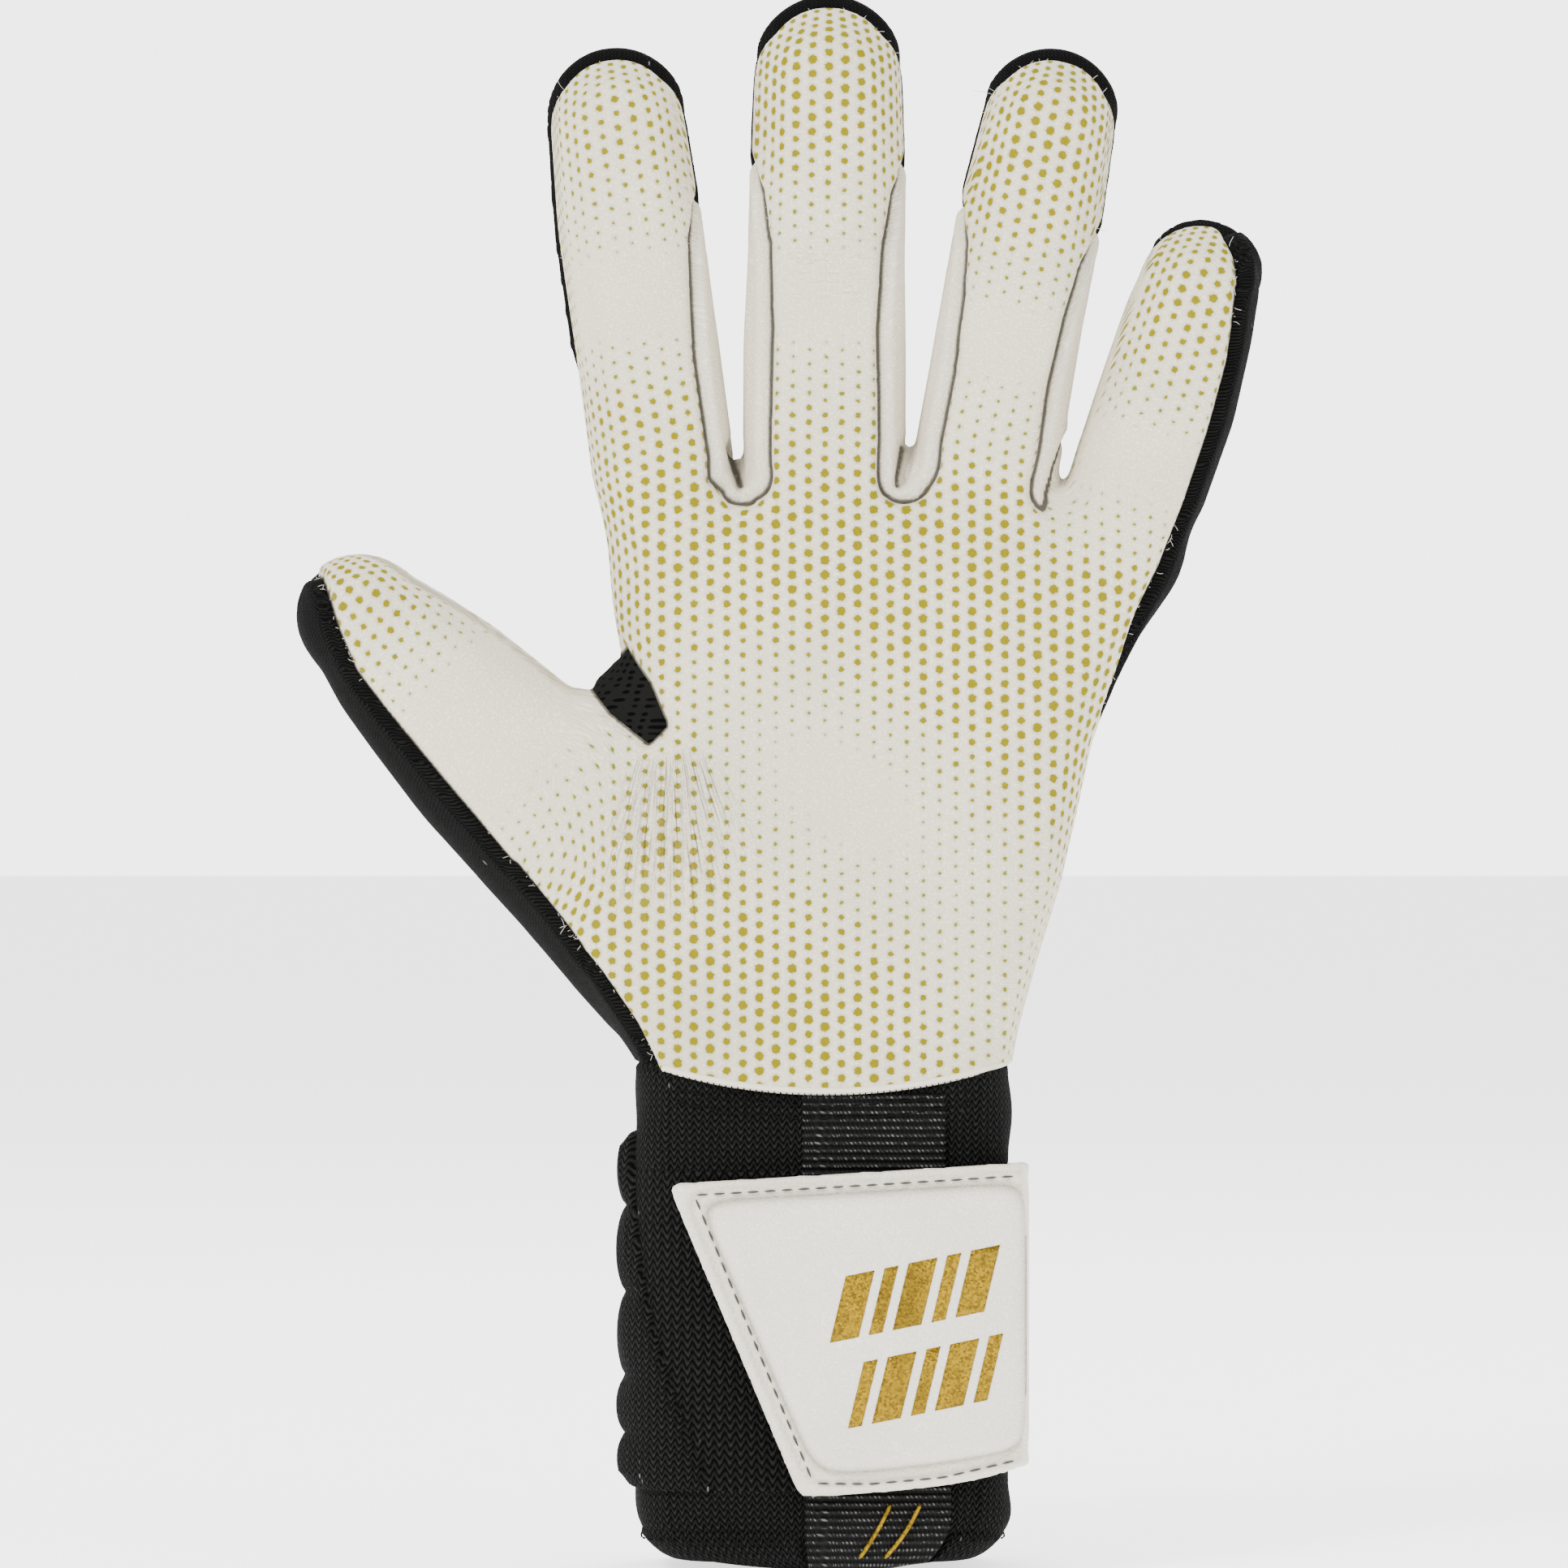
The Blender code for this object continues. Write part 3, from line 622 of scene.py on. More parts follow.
def print_of(points, outward):
    """The print's coordinates in millimetres and its strength, at each point. Where the skin
    turns away to the sides, the coordinates run on with the surface."""
    level = np.hypot(outward[:, 0], outward[:, 2])
    around = 0.85 * np.maximum(points[:, 1] + 9, 0) * smooth_step(level, 0.3, 0.7) / np.maximum(level, 0.3)
    points = points + outward * (around[:, None] * (1, 0, 1))
    x, z = points[:, 0] - SHIFT_X, points[:, 2]
    turn = math.radians(-38)
    along = (x - 12) * math.cos(turn) + (z - 147) * math.sin(turn)
    over = -(x - 12) * math.sin(turn) + (z - 147) * math.cos(turn)
    hollow = 1 - smooth_step(np.hypot(along / 44, over / 24), 0.15, 1.45)
    corner = 1 - smooth_step(np.hypot((x - 46) / 30, (z - 112) / 42), 0.3, 1)
    strength = (1 - hollow) * (1 - 0.6 * corner)
    place = np.stack([x, z], axis=1)
    for digit in DIGITS.values():
        u, s = digit.local(points)
        low, high = digit.edge(s)
        near = smooth_step(np.minimum(u - low, high - u), -9, -2)
        start = (-26, -2) if digit.name == "thumb" else (-10, 22)
        late = 0.8 * np.maximum(u + 6, 0) if digit.name == "thumb" else 0
        w = near * smooth_step(s - late, *start)
        rows = np.array(PRINT_ROWS[digit.name], float)
        strength += (np.interp(s, rows[:, 0], rows[:, 1]) - strength) * near * smooth_step(s, *rows[:2, 0])
        root = np.array([digit.root[0] - SHIFT_X, digit.root[2]])
        place += (np.stack([u, s], axis=1) + root - place) * w[:, None]
    return place, strength * smooth_step(-outward[:, 1], -0.1, 0.2)


print_at, print_strength = print_of(points, outward)
print("print strength:", [round(float(f(print_strength)), 2) for f in (np.min, np.max)])

# %% [markdown]
# ## Shared surface effects
# Foam grain, printed dots, knit loops, webbing ribs and lint are shader node groups. Each puts out
# a mask or a height only, and each material feeds them into its own Principled shader. Their
# coordinates are attributes in millimetres, so that a weave keeps its real size on every piece.

# %% Node helpers


def put(tree, kind, inputs=(), **settings):
    """A new node. inputs is a dict from socket name or number to a value or another socket."""
    made = tree.nodes.new("ShaderNode" + kind)
    for name, value in settings.items():
        setattr(made, name, value)
    for name, value in dict(inputs).items():
        if isinstance(value, bpy.types.NodeSocket):
            tree.links.new(value, made.inputs[name])
        else:
            made.inputs[name].default_value = value
    return made


def math_node(tree, operation, *values):
    return put(tree, "Math", dict(enumerate(values)), operation=operation).outputs[0]


def ramp(tree, value, low, high):
    """0 at low and 1 at high, smoothly."""
    inputs = {"Value": value, "From Min": low, "From Max": high}
    return put(tree, "MapRange", inputs, interpolation_type="SMOOTHSTEP").outputs[0]


def group(name, inputs, outputs, build):
    tree = bpy.data.node_groups.new(name, "ShaderNodeTree")
    for socket, kind, value in inputs:
        made = tree.interface.new_socket(socket, in_out="INPUT", socket_type="NodeSocket" + kind)
        if kind == "Float":
            made.default_value = value
    for socket in outputs:
        tree.interface.new_socket(socket, in_out="OUTPUT", socket_type="NodeSocketFloat")
    start = tree.nodes.new("NodeGroupInput")
    end = tree.nodes.new("NodeGroupOutput")
    for socket, value in build(tree, start.outputs).items():
        tree.links.new(value, end.inputs[socket])
    return tree


def place_group(tree, made, **inputs):
    used = put(tree, "Group", node_tree=made)
    for name, value in inputs.items():
        if isinstance(value, bpy.types.NodeSocket):
            tree.links.new(value, used.inputs[name])
        else:
            used.inputs[name].default_value = value
    return used.outputs


# %% Foam grain


def build_grain(tree, given):
    fine = put(tree, "TexNoise", {"Vector": given["At"], "Scale": given["Pitch"], "Detail": 3.0}).outputs[0]
    broad = put(tree, "TexNoise", {"Vector": given["At"], "Scale": 0.045, "Detail": 2.0}).outputs[0]
    speck = ramp(tree, fine, 0.36, 0.62)
    return {"Height": speck, "Cloud": ramp(tree, broad, 0.3, 0.72)}


AT = ("At", "Vector", 0)
foam_grain = group("foam_grain", [AT, ("Pitch", "Float", 2.4)], ["Height", "Cloud"], build_grain)

# %% Printed dots
DOT_COLUMNS = 3.1
DOT_ROWS = 2.76


def build_dots(tree, given):
    """Dots in staggered columns. Core is the gold middle, Halo the ring round it, where the latex sinks a
    dimple and paints its shade.
    """
    parts = put(tree, "SeparateXYZ", {0: given["At"]}).outputs
    across = math_node(tree, "DIVIDE", parts[0], DOT_COLUMNS)
    column = math_node(tree, "FLOOR", across)
    off_x = math_node(tree, "SUBTRACT", math_node(tree, "SUBTRACT", across, column), 0.5)
    odd = math_node(tree, "FLOORED_MODULO", column, 2.0)
    down = math_node(tree, "MULTIPLY_ADD", odd, 0.5, math_node(tree, "DIVIDE", parts[1], DOT_ROWS))
    off_y = math_node(tree, "SUBTRACT", math_node(tree, "FRACT", down), 0.5)
    x = math_node(tree, "MULTIPLY", off_x, DOT_COLUMNS)
    y = math_node(tree, "MULTIPLY", off_y, DOT_ROWS)
    squares = math_node(tree, "MULTIPLY_ADD", x, x, math_node(tree, "MULTIPLY", y, y))
    away = math_node(tree, "SQRT", squares)
    rough = put(tree, "TexNoise", {"Vector": given["At"], "Scale": 1.9, "Detail": 2.0}).outputs[0]
    away = math_node(tree, "MULTIPLY_ADD", math_node(tree, "SUBTRACT", rough, 0.5), 0.7, away)
    cell = put(tree, "CombineXYZ", {0: column, 1: math_node(tree, "FLOOR", down)}).outputs[0]
    uneven = put(tree, "TexWhiteNoise", {"Vector": cell}).outputs["Value"]
    radius = math_node(tree, "MULTIPLY_ADD", given["Strength"], 0.62, 0.18)
    radius = math_node(tree, "MULTIPLY", radius, math_node(tree, "MULTIPLY_ADD", uneven, 0.34, 0.8))
    shown = ramp(tree, given["Strength"], 0.01, 0.12)
    core = ramp(tree, math_node(tree, "SUBTRACT", radius, away), -0.08, 0.08)
    halo = ramp(tree, math_node(tree, "SUBTRACT", radius, away), -0.7, 0.1)
    return {
        "Core": math_node(tree, "MULTIPLY", core, shown),
        "Halo": math_node(tree, "MULTIPLY", halo, shown),
    }


printed_dots = group(
    "printed_dots", [AT, ("Strength", "Float", 1)], ["Core", "Halo"], build_dots,
)

# %% Knit loops, webbing ribs and lint


def wave(tree, value, pitch):
    turns = math_node(tree, "MULTIPLY", value, math_node(tree, "DIVIDE", 2 * math.pi, pitch))
    return math_node(tree, "MULTIPLY_ADD", math_node(tree, "SINE", turns), 0.5, 0.5)


def build_knit(tree, given):
    """Rows of small V-shaped loops: the columns lean one way and the other by turns."""
    bent = put(tree, "TexNoise", {"Vector": given["At"], "Scale": 0.5, "Detail": 1.0}).outputs[0]
    parts = put(tree, "SeparateXYZ", {0: given["At"]}).outputs
    wander = math_node(tree, "MULTIPLY", math_node(tree, "SUBTRACT", bent, 0.5), 0.8)
    x = math_node(tree, "ADD", parts[0], wander)
    columns = wave(tree, x, given["Pitch"])
    lean = math_node(tree, "MULTIPLY", columns, math_node(tree, "MULTIPLY", given["Pitch"], 0.7))
    row_pitch = math_node(tree, "MULTIPLY", given["Pitch"], 0.85)
    rows = wave(tree, math_node(tree, "ADD", parts[1], lean), row_pitch)
    grain = put(tree, "TexNoise", {"Vector": given["At"], "Scale": 3.5, "Detail": 3.0}).outputs[0]
    loops = math_node(tree, "MULTIPLY", math_node(tree, "MULTIPLY_ADD", columns, 0.5, 0.5), rows)
    return {"Height": math_node(tree, "MULTIPLY_ADD", grain, 0.7, loops), "Loops": loops}


def build_ribs(tree, given):
    parts = put(tree, "SeparateXYZ", {0: given["At"]}).outputs
    ribs = wave(tree, parts[1], given["Pitch"])
    yarn = wave(tree, math_node(tree, "MULTIPLY_ADD", parts[1], 0.5, parts[0]), 0.85)
    # Noise that puts the ribs' painted glints in patches.
    wear_and_glint_patches = put(tree, "TexNoise", {"Vector": given["At"], "Scale": 0.9, "Detail": 3.0}).outputs[0]
    tops = math_node(tree, "MULTIPLY", ramp(tree, ribs, 0.55, 0.95), ramp(tree, yarn, 0.35, 0.8))
    return {
        "Height": math_node(tree, "MULTIPLY_ADD", yarn, 0.25, ribs),
        "Glint": math_node(tree, "MULTIPLY", tops, ramp(tree, wear_and_glint_patches, 0.42, 0.66)),
    }


def build_lint(tree, given):
    """Sparse specks and short hairs of fluff that catch on black cloth."""
    long_cells = put(tree, "VectorMath", {0: given["At"], 1: (1.0, 0.35, 1.0)}, operation="MULTIPLY")
    inputs = {"Vector": long_cells.outputs[0], "Scale": 0.42}
    cells = put(tree, "TexVoronoi", inputs).outputs["Distance"]
    patchy = put(tree, "TexNoise", {"Vector": given["At"], "Scale": 0.12}).outputs[0]
    near = math_node(tree, "SUBTRACT", 1.0, ramp(tree, cells, 0.05, 0.1))
    return {"Speck": math_node(tree, "MULTIPLY", near, ramp(tree, patchy, 0.5, 0.62))}


knit_loops = group("knit_loops", [AT, ("Pitch", "Float", 1)], ["Height", "Loops"], build_knit)
webbing_ribs = group("webbing_ribs", [AT, ("Pitch", "Float", 1.1)], ["Height", "Glint"], build_ribs)
lint = group("lint", [AT], ["Speck"], build_lint)
print("shared effects:", [tree.name for tree in bpy.data.node_groups])

# %% [markdown]
# ## Materials
# Latex foam is matt and warm white, with a grain of open cells. The blacks are separate cloths:
# smooth knit on the hand, coarser knit on the wrist, loop pile, and shiny woven webbing.

# %% Material helpers


def new_material(name, roughness, **constants):
    """An empty Principled material, its tree and its shader. constants are the same all over."""
    made = bpy.data.materials.new(name)
    made.use_nodes = True
    shader = made.node_tree.nodes["Principled BSDF"]
    shader.inputs["Roughness"].default_value = roughness
    for socket, value in constants.items():
        shader.inputs[socket.replace("_", " ")].default_value = value
    return made, made.node_tree, shader


def attribute(tree, name, output="Vector"):
    return put(tree, "Attribute", attribute_name=name).outputs[output]


def mix(tree, share, a, b):
    """Colour a where share is 0 and colour b where it is 1."""
    made = put(tree, "Mix", {0: share}, data_type="RGBA")
    for socket, value in ((made.inputs[6], a), (made.inputs[7], b)):
        if isinstance(value, bpy.types.NodeSocket):
            tree.links.new(value, socket)
        else:
            socket.default_value = (*value, 1)
    return made.outputs[2]


def bumped(tree, shader, height, distance, strength=1.0):
    bump = put(tree, "Bump", {"Height": height, "Distance": distance * MM, "Strength": strength})
    tree.links.new(bump.outputs[0], shader.inputs["Normal"])


def scaled(tree, value, factor):
    return math_node(tree, "MULTIPLY", value, factor)


# %% Latex and gussets
WARM_WHITE = (0.77, 0.70, 0.545)
# Painted shade: the latex is darkened towards this near seams, in creases, and at the palm's lower left and
# lower edge.
PAINTED_SHADE = (0.40, 0.37, 0.29)
GOLD_INK = (0.20, 0.165, 0.0)
PALE_INK = (0.17, 0.165, 0.01)
# Painted shade in the ring round each printed dot, where the latex sinks a dimple.
DIMPLE_SHADE = (0.30, 0.31, 0.16)
SEAM_SHADE = (0.03, 0.027, 0.02)


def latex_material(name, tone, printed):
    made, tree, shader = new_material(name, 0.72, Specular_IOR_Level=0.08)
    at = attribute(tree, "print_at")
    grain = place_group(tree, foam_grain, At=at, Pitch=1.7)
    shaded = tuple(c * 0.88 for c in tone)
    colour = mix(tree, scaled(tree, grain["Cloud"], 0.8), tone, shaded)
    colour = mix(tree, scaled(tree, grain["Height"], 0.5), colour, tuple(c * 0.66 for c in tone))
    height = scaled(tree, grain["Height"], 0.32)
    if printed:
        # Painted shade, darker towards the palm's lower left and along its lower edge.
        colour = mix(tree, attribute(tree, "soil", "Fac"), colour, PAINTED_SHADE)
        strength = attribute(tree, "print_strength", "Fac")
        dots = place_group(tree, printed_dots, At=at, Strength=strength)
        ink = mix(tree, ramp(tree, strength, 0.1, 0.8), PALE_INK, GOLD_INK)
        # Painted shade of each dot's dimple, in a grey-green tone.
        colour = mix(tree, scaled(tree, dots["Halo"], 0.5), colour, DIMPLE_SHADE)
        colour = mix(tree, dots["Core"], colour, ink)
        height = math_node(tree, "ADD", height, scaled(tree, dots["Halo"], -0.22))
        creases = attribute(tree, "crease_at")
        folds = put(tree, "TexNoise", {"Vector": creases, "Scale": 0.55, "Detail": 2.0}).outputs[0]
        depth = math_node(tree, "MULTIPLY", ramp(tree, folds, 0.35, 0.65), attribute(tree, "crease", "Fac"))
        height = math_node(tree, "ADD", height, scaled(tree, depth, 2.4))
        # Painted shade in the creases, on top of their bump.
        colour = mix(tree, scaled(tree, attribute(tree, "crease", "Fac"), 0.06), colour, PAINTED_SHADE)
    # Painted shade near each seam: a broad darkening, and a dark line along the seam itself.
    away = attribute(tree, "to_seam", "Fac")
    soft = math_node(tree, "SUBTRACT", 1.0, ramp(tree, away, 0.2, 2.2))
    thin = math_node(tree, "SUBTRACT", 1.0, ramp(tree, away, 0.25, 0.8))
    colour = mix(tree, scaled(tree, soft, 0.24), colour, PAINTED_SHADE)
    colour = mix(tree, scaled(tree, thin, 0.92), colour, SEAM_SHADE)
    tree.links.new(colour, shader.inputs["Base Color"])
    rough = math_node(tree, "MULTIPLY_ADD", grain["Height"], 0.12, 0.66)
    tree.links.new(rough, shader.inputs["Roughness"])
    bumped(tree, shader, height, 0.5)
    return made


latex = latex_material("palm_latex_foam", WARM_WHITE, True)
gusset_latex = latex_material("gusset_latex_foam", (0.77, 0.71, 0.575), False)


# %% Black cloths
def cloth_material(name, dark, light, pitch, depth, lint_share, roughness=0.92):
    made, tree, shader = new_material(
        name, roughness, Specular_IOR_Level=0.03, Sheen_Weight=0.01, Sheen_Roughness=0.4,
    )
    at = attribute(tree, "cloth_at")
    knit = place_group(tree, knit_loops, At=at, Pitch=pitch)
    fluff = place_group(tree, lint, At=at)
    # The loops' tops are painted lighter than the gaps: painted highlight on the black knit.
    colour = mix(tree, knit["Loops"], dark, light)
    colour = mix(tree, scaled(tree, fluff["Speck"], lint_share), colour, (0.32, 0.31, 0.29))
    tree.links.new(colour, shader.inputs["Base Color"])
    rough = math_node(tree, "MULTIPLY_ADD", knit["Loops"], -0.12, roughness)
    tree.links.new(rough, shader.inputs["Roughness"])
    bumped(tree, shader, knit["Height"], depth)
    return made


backhand_cloth = cloth_material(
    "backhand_knit", (0.0012, 0.0012, 0.0012), (0.0095, 0.0095, 0.009), 0.75, 0.25, 0.5,
)
wrist_cloth = cloth_material("wrist_knit", (0.0006, 0.0006, 0.0006), (0.019, 0.019, 0.018), 1.6, 0.9, 0.5)
pile_cloth = cloth_material(
    "loop_pile", (0.0004, 0.0004, 0.0004), (0.021, 0.021, 0.0198), 2.0, 1.4, 0.7, 0.97,
)


def perforated_material():
    """A thin knit with rows of small holes and bright specks."""
    made, tree, shader = new_material("perforated_web", 0.85, Specular_IOR_Level=0.04)
    at = attribute(tree, "cloth_at")
    cells = put(tree, "TexVoronoi", {"Vector": at, "Scale": 0.75, "Randomness": 0.2}).outputs["Distance"]
    hole = math_node(tree, "SUBTRACT", 1.0, ramp(tree, cells, 0.18, 0.3))
    fluff = place_group(tree, lint, At=at)
    # The holes are painted darker: painted shade inside them.
    colour = mix(tree, hole, (0.006, 0.006, 0.0056), (0.0004, 0.0004, 0.0004))
    colour = mix(tree, fluff["Speck"], colour, (0.3, 0.3, 0.28))
    tree.links.new(colour, shader.inputs["Base Color"])
    bumped(tree, shader, scaled(tree, hole, -1.0), 0.5)
    return made


def webbing_material():
    made, tree, shader = new_material("woven_webbing", 0.6, Specular_IOR_Level=0.06)
    ribs = place_group(tree, webbing_ribs, At=attribute(tree, "cloth_at"), Pitch=1.45)
    # The ribs' tops are painted lighter, and Glint adds painted highlight on them.
    colour = mix(tree, ribs["Height"], (0.0008, 0.0008, 0.0008), (0.011, 0.011, 0.0105))
    colour = mix(tree, ribs["Glint"], colour, (0.12, 0.12, 0.115))
    tree.links.new(colour, shader.inputs["Base Color"])
    bumped(tree, shader, ribs["Height"], 0.7)
    return made


perforated = perforated_material()
webbing = webbing_material()


# %% Strap coating, thread, foil and fluff
def coated_material(name, tone, roughness):
    """Smooth coated cloth: a faint leather grain, a little grey where it has been handled, and painted shade
    where the attribute seam says.
    """
    made, tree, shader = new_material(name, roughness, Specular_IOR_Level=0.4)
    at = attribute(tree, "cloth_at")
    grain = place_group(tree, foam_grain, At=at, Pitch=1.5)
    colour = mix(tree, scaled(tree, grain["Cloud"], 0.7), tone, tuple(c * 0.92 for c in tone))
    colour = mix(tree, scaled(tree, grain["Height"], 0.22), colour, tuple(c * 0.66 for c in tone))
    # Painted shade along the lines that the attribute seam gives, round the padded panel.
    colour = mix(tree, attribute(tree, "seam", "Fac"), colour, SEAM_SHADE)
    tree.links.new(colour, shader.inputs["Base Color"])
    rough = math_node(tree, "MULTIPLY_ADD", grain["Cloud"], 0.14, roughness - 0.06)
    tree.links.new(rough, shader.inputs["Roughness"])
    bumped(tree, shader, grain["Height"], 0.14)
    return made


def thread_material(name, tone, roughness=0.8, shine=0.3):
    made, tree, shader = new_material(name, roughness, Specular_IOR_Level=shine)
    at = put(tree, "TexCoord").outputs["Object"]
    twist = put(tree, "TexNoise", {"Vector": at, "Scale": 2200.0, "Detail": 2.0}).outputs[0]
    tree.links.new(mix(tree, twist, tone, tuple(c * 0.45 for c in tone)), shader.inputs["Base Color"])
    bumped(tree, shader, twist, 0.1)
    return made


def foil_material():
    """Gold glitter foil: small flakes at many angles."""
    made, tree, shader = new_material("gold_foil", 0.35, Metallic=0.75)
    at = put(tree, "TexCoord").outputs["Object"]
    flakes = put(tree, "TexVoronoi", {"Vector": at, "Scale": 2600.0}).outputs["Color"]
    tone = put(tree, "SeparateXYZ", {0: flakes}).outputs[0]
    wear_and_glint_patches = put(tree, "TexNoise", {"Vector": at, "Scale": 90.0, "Detail": 4.0}).outputs[0]
    colour = mix(tree, tone, (0.10, 0.055, 0.0), (0.36, 0.225, 0.001))
    colour = mix(tree, scaled(tree, ramp(tree, wear_and_glint_patches, 0.45, 0.75), 0.5), colour, (0.06, 0.036, 0.001))
    tree.links.new(colour, shader.inputs["Base Color"])
    tree.links.new(math_node(tree, "MULTIPLY_ADD", tone, 0.3, 0.3), shader.inputs["Roughness"])
    bumped(tree, shader, tone, 0.08)
    return made


strap_coat = coated_material("strap_coating", (0.74, 0.69, 0.57), 0.5)
pad_coat = coated_material("pad_coating", (0.76, 0.71, 0.595), 0.46)
stitch_thread = thread_material("grey_stitch_thread", (0.07, 0.07, 0.058))
dark_thread = thread_material("black_thread", (0.006, 0.006, 0.0055), 0.9, 0.03)
white_fluff = thread_material("white_fluff", (0.62, 0.60, 0.56), 0.95)
gold_foil = foil_material()
print(len(bpy.data.materials), "materials")

# %% [markdown]
# ## Skin pieces
# The form is now cut into its pieces: each region of each body becomes one mesh. Their normals
# are worked out before the cut between bodies, so that no line shows where a finger's base meets
# its tip.

# %% Piece helpers


def add_mesh(name, verts, faces, material, body, slot, replaced=(), normals=None, **attributes):
    """One piece from points in millimetres. attributes are arrays of one value or vector a point."""
    mesh = bpy.data.meshes.new(name)
    mesh.from_pydata((np.asarray(verts) * MM).tolist(), [], [list(map(int, f)) for f in faces])
    mesh.polygons.foreach_set("use_smooth", [True] * len(mesh.polygons))
    for key, values in attributes.items():
        values = np.asarray(values, np.float32)
        if values.ndim == 2:
            kind, field = "FLOAT_VECTOR", "vector"
        else:
            kind, field = "FLOAT", "value"
        mesh.attributes.new(key, kind, "POINT").data.foreach_set(field, values.reshape(-1))
    if normals is not None:
        mesh.normals_split_custom_set_from_vertices(normals.tolist())
    mesh.materials.append(material)
    piece = bpy.data.objects.new(name, mesh)
    bpy.context.scene.collection.objects.link(piece)
    if replaced:
        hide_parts(*replaced)
    if body:
        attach(piece, body)
    return piece


def three(flat, third=None):
    """Vectors from pairs, with a third column."""
    return np.column_stack([flat, np.zeros(len(flat)) if third is None else third])


# %% Creases and painted shade of the palm
x, z = points[:, 0] - SHIFT_X, points[:, 2]
web_corner = np.array([-25.0, 160.0])
angle = np.arctan2(x - web_corner[0] - 3, web_corner[1] + 12 - z)
reach = np.hypot(x - web_corner[0], z - web_corner[1])
thumb_folds = smooth_step(reach, 2, 8) * (1 - smooth_step(reach, 20, 46))
thumb_folds *= smooth_step(angle, -0.5, -0.2) * (1 - smooth_step(angle, 0.25, 0.6))
thumb_folds *= smooth_step(160 - z, 2, 10)
finger_folds = (1 - smooth_step(np.abs(x - 8), 5, 12)) * (1 - smooth_step(np.abs(z - 247), 4, 9)) * 0.35
crease = thumb_folds + finger_folds
crease_at = np.where(
    (thumb_folds > finger_folds)[:, None],
    np.column_stack([angle * 42, reach * 0.09, x * 0]),
    np.column_stack([x * 0.12, z * 1.1, x * 0]),
)
# Painted shade: darker towards the palm's lower left and along its lower edge.
soil = 0.42 * np.exp(-(((x + 18) / 13) ** 2) - ((z - 103) / 11) ** 2) + 0.06 * np.exp(-((z - 92) / 5) ** 2)
cloth_at = np.column_stack([x, z, points[:, 1] * 0])
cloth_side = np.column_stack([points[:, 1], z, x * 0])
print("creased points", int((crease > 0.1).sum()))

# %% Cutting the skin into pieces
SKIN = {
    LATEX: ("palm_latex", latex, "latex"), BACKHAND: ("back", backhand_cloth, "backhand"),
    WEBBED: ("web", perforated, "perforated"),
}
BLENDS = {"index": (-1, 16), "middle": (-1, 16), "ring": (-1, 16), "little": (-1, 15), "thumb": (3, 19)}
SHORTEST_TURN = 8


def skin_piece(name, chosen, normals, material, slot, replaced, at=cloth_at):
    used, faces = np.unique(triangles[chosen], return_inverse=True)
    return add_mesh(
        name, points[used], faces.reshape(-1, 3), material, None, slot, replaced, normals[used],
        print_at=three(print_at[used]), print_strength=print_strength[used], cloth_at=at[used],
        to_seam=to_seam[used], crease=crease[used], crease_at=crease_at[used], soil=soil[used],
    )


def turned_by(piece, part):
    """Attaches a root piece to the root body; any other piece only has its transform baked."""
    if part == "root":
        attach(piece, "root")
        return
    name, half = part.split("_")
    digit = DIGITS[name]
    if half == "base":
        start, end = BLENDS[name]
    else:
        start = max(digit.middle - SHORTEST_TURN, HALFWAY[name])
        end = digit.middle + SHORTEST_TURN
    digit.world(start) * MM
    digit.world(end) * MM
    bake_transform(piece)


# Which CAD nodes the side regions stand for, by segment and side of the digit
SIDE_NODES = {
    "index_base": {1: "index_base_inner_gusset", -1: "index_base_side_strip"},
    "middle_base": {1: "middle_base_right_gusset", -1: "middle_base_left_gusset"},
    "ring_base": {1: "ring_base_right_gusset", -1: "ring_base_left_gusset"},
    "little_base": {1: "little_base_side_strip", -1: "little_base_inner_side"},
    "thumb_base": {-1: "thumb_base_side_strip", 1: "thumb_base_inner_side"},
}
ROOT_SIDES = {
    "thumb_heel_strip": lambda x, z: (x < -20) & (z < 150),
    "little_side_strip": lambda x, z: (x > 36) & ((z < 192) | (x > 66)),
    "index_middle_crotch": lambda x, z: x < 8,
    "middle_ring_crotch": lambda x, z: x < 34,
    "ring_little_crotch": lambda x, z: x > 0,
}
# Side walls that the backhand's edge stands for, where latex and backhand meet directly
BACK_STANDS_FOR = {
    "root": ["backhand_lining", "index_side_wall"], "index_base": ["index_base_side_strip"],
    "thumb_base": ["thumb_base_inner_side"],
}
NODE_NAMES = {node if isinstance(node, str) else node["name"] for node in frame["nodes"]}
middles = points[triangles].mean(axis=1)
done = set()

for kind, (label, material, slot) in SKIN.items():
    normals = normals_of(points, triangles[region == kind])
    for index, part in enumerate(SEGMENTS):
        chosen = (region == kind) & (segment == index)
        if not chosen.any():
            continue
        if kind == WEBBED:
            name = "thumb_web_panel"
        elif part == "root":
            name = "palm_latex" if kind == LATEX else "backhand_panel"
        else:
            name = f"{part}_{label}"
        replaced = [name]
        if part == "root" and kind == LATEX:
            replaced.append("palm_lining")
        if kind == BACKHAND:
            replaced += BACK_STANDS_FOR.get(part, [])
        at = cloth_side if kind == WEBBED else cloth_at
        turned_by(skin_piece(name, chosen, normals, material, slot, replaced, at), part)
        done.update(replaced)
print(len(done), "nodes replaced by skin pieces so far")

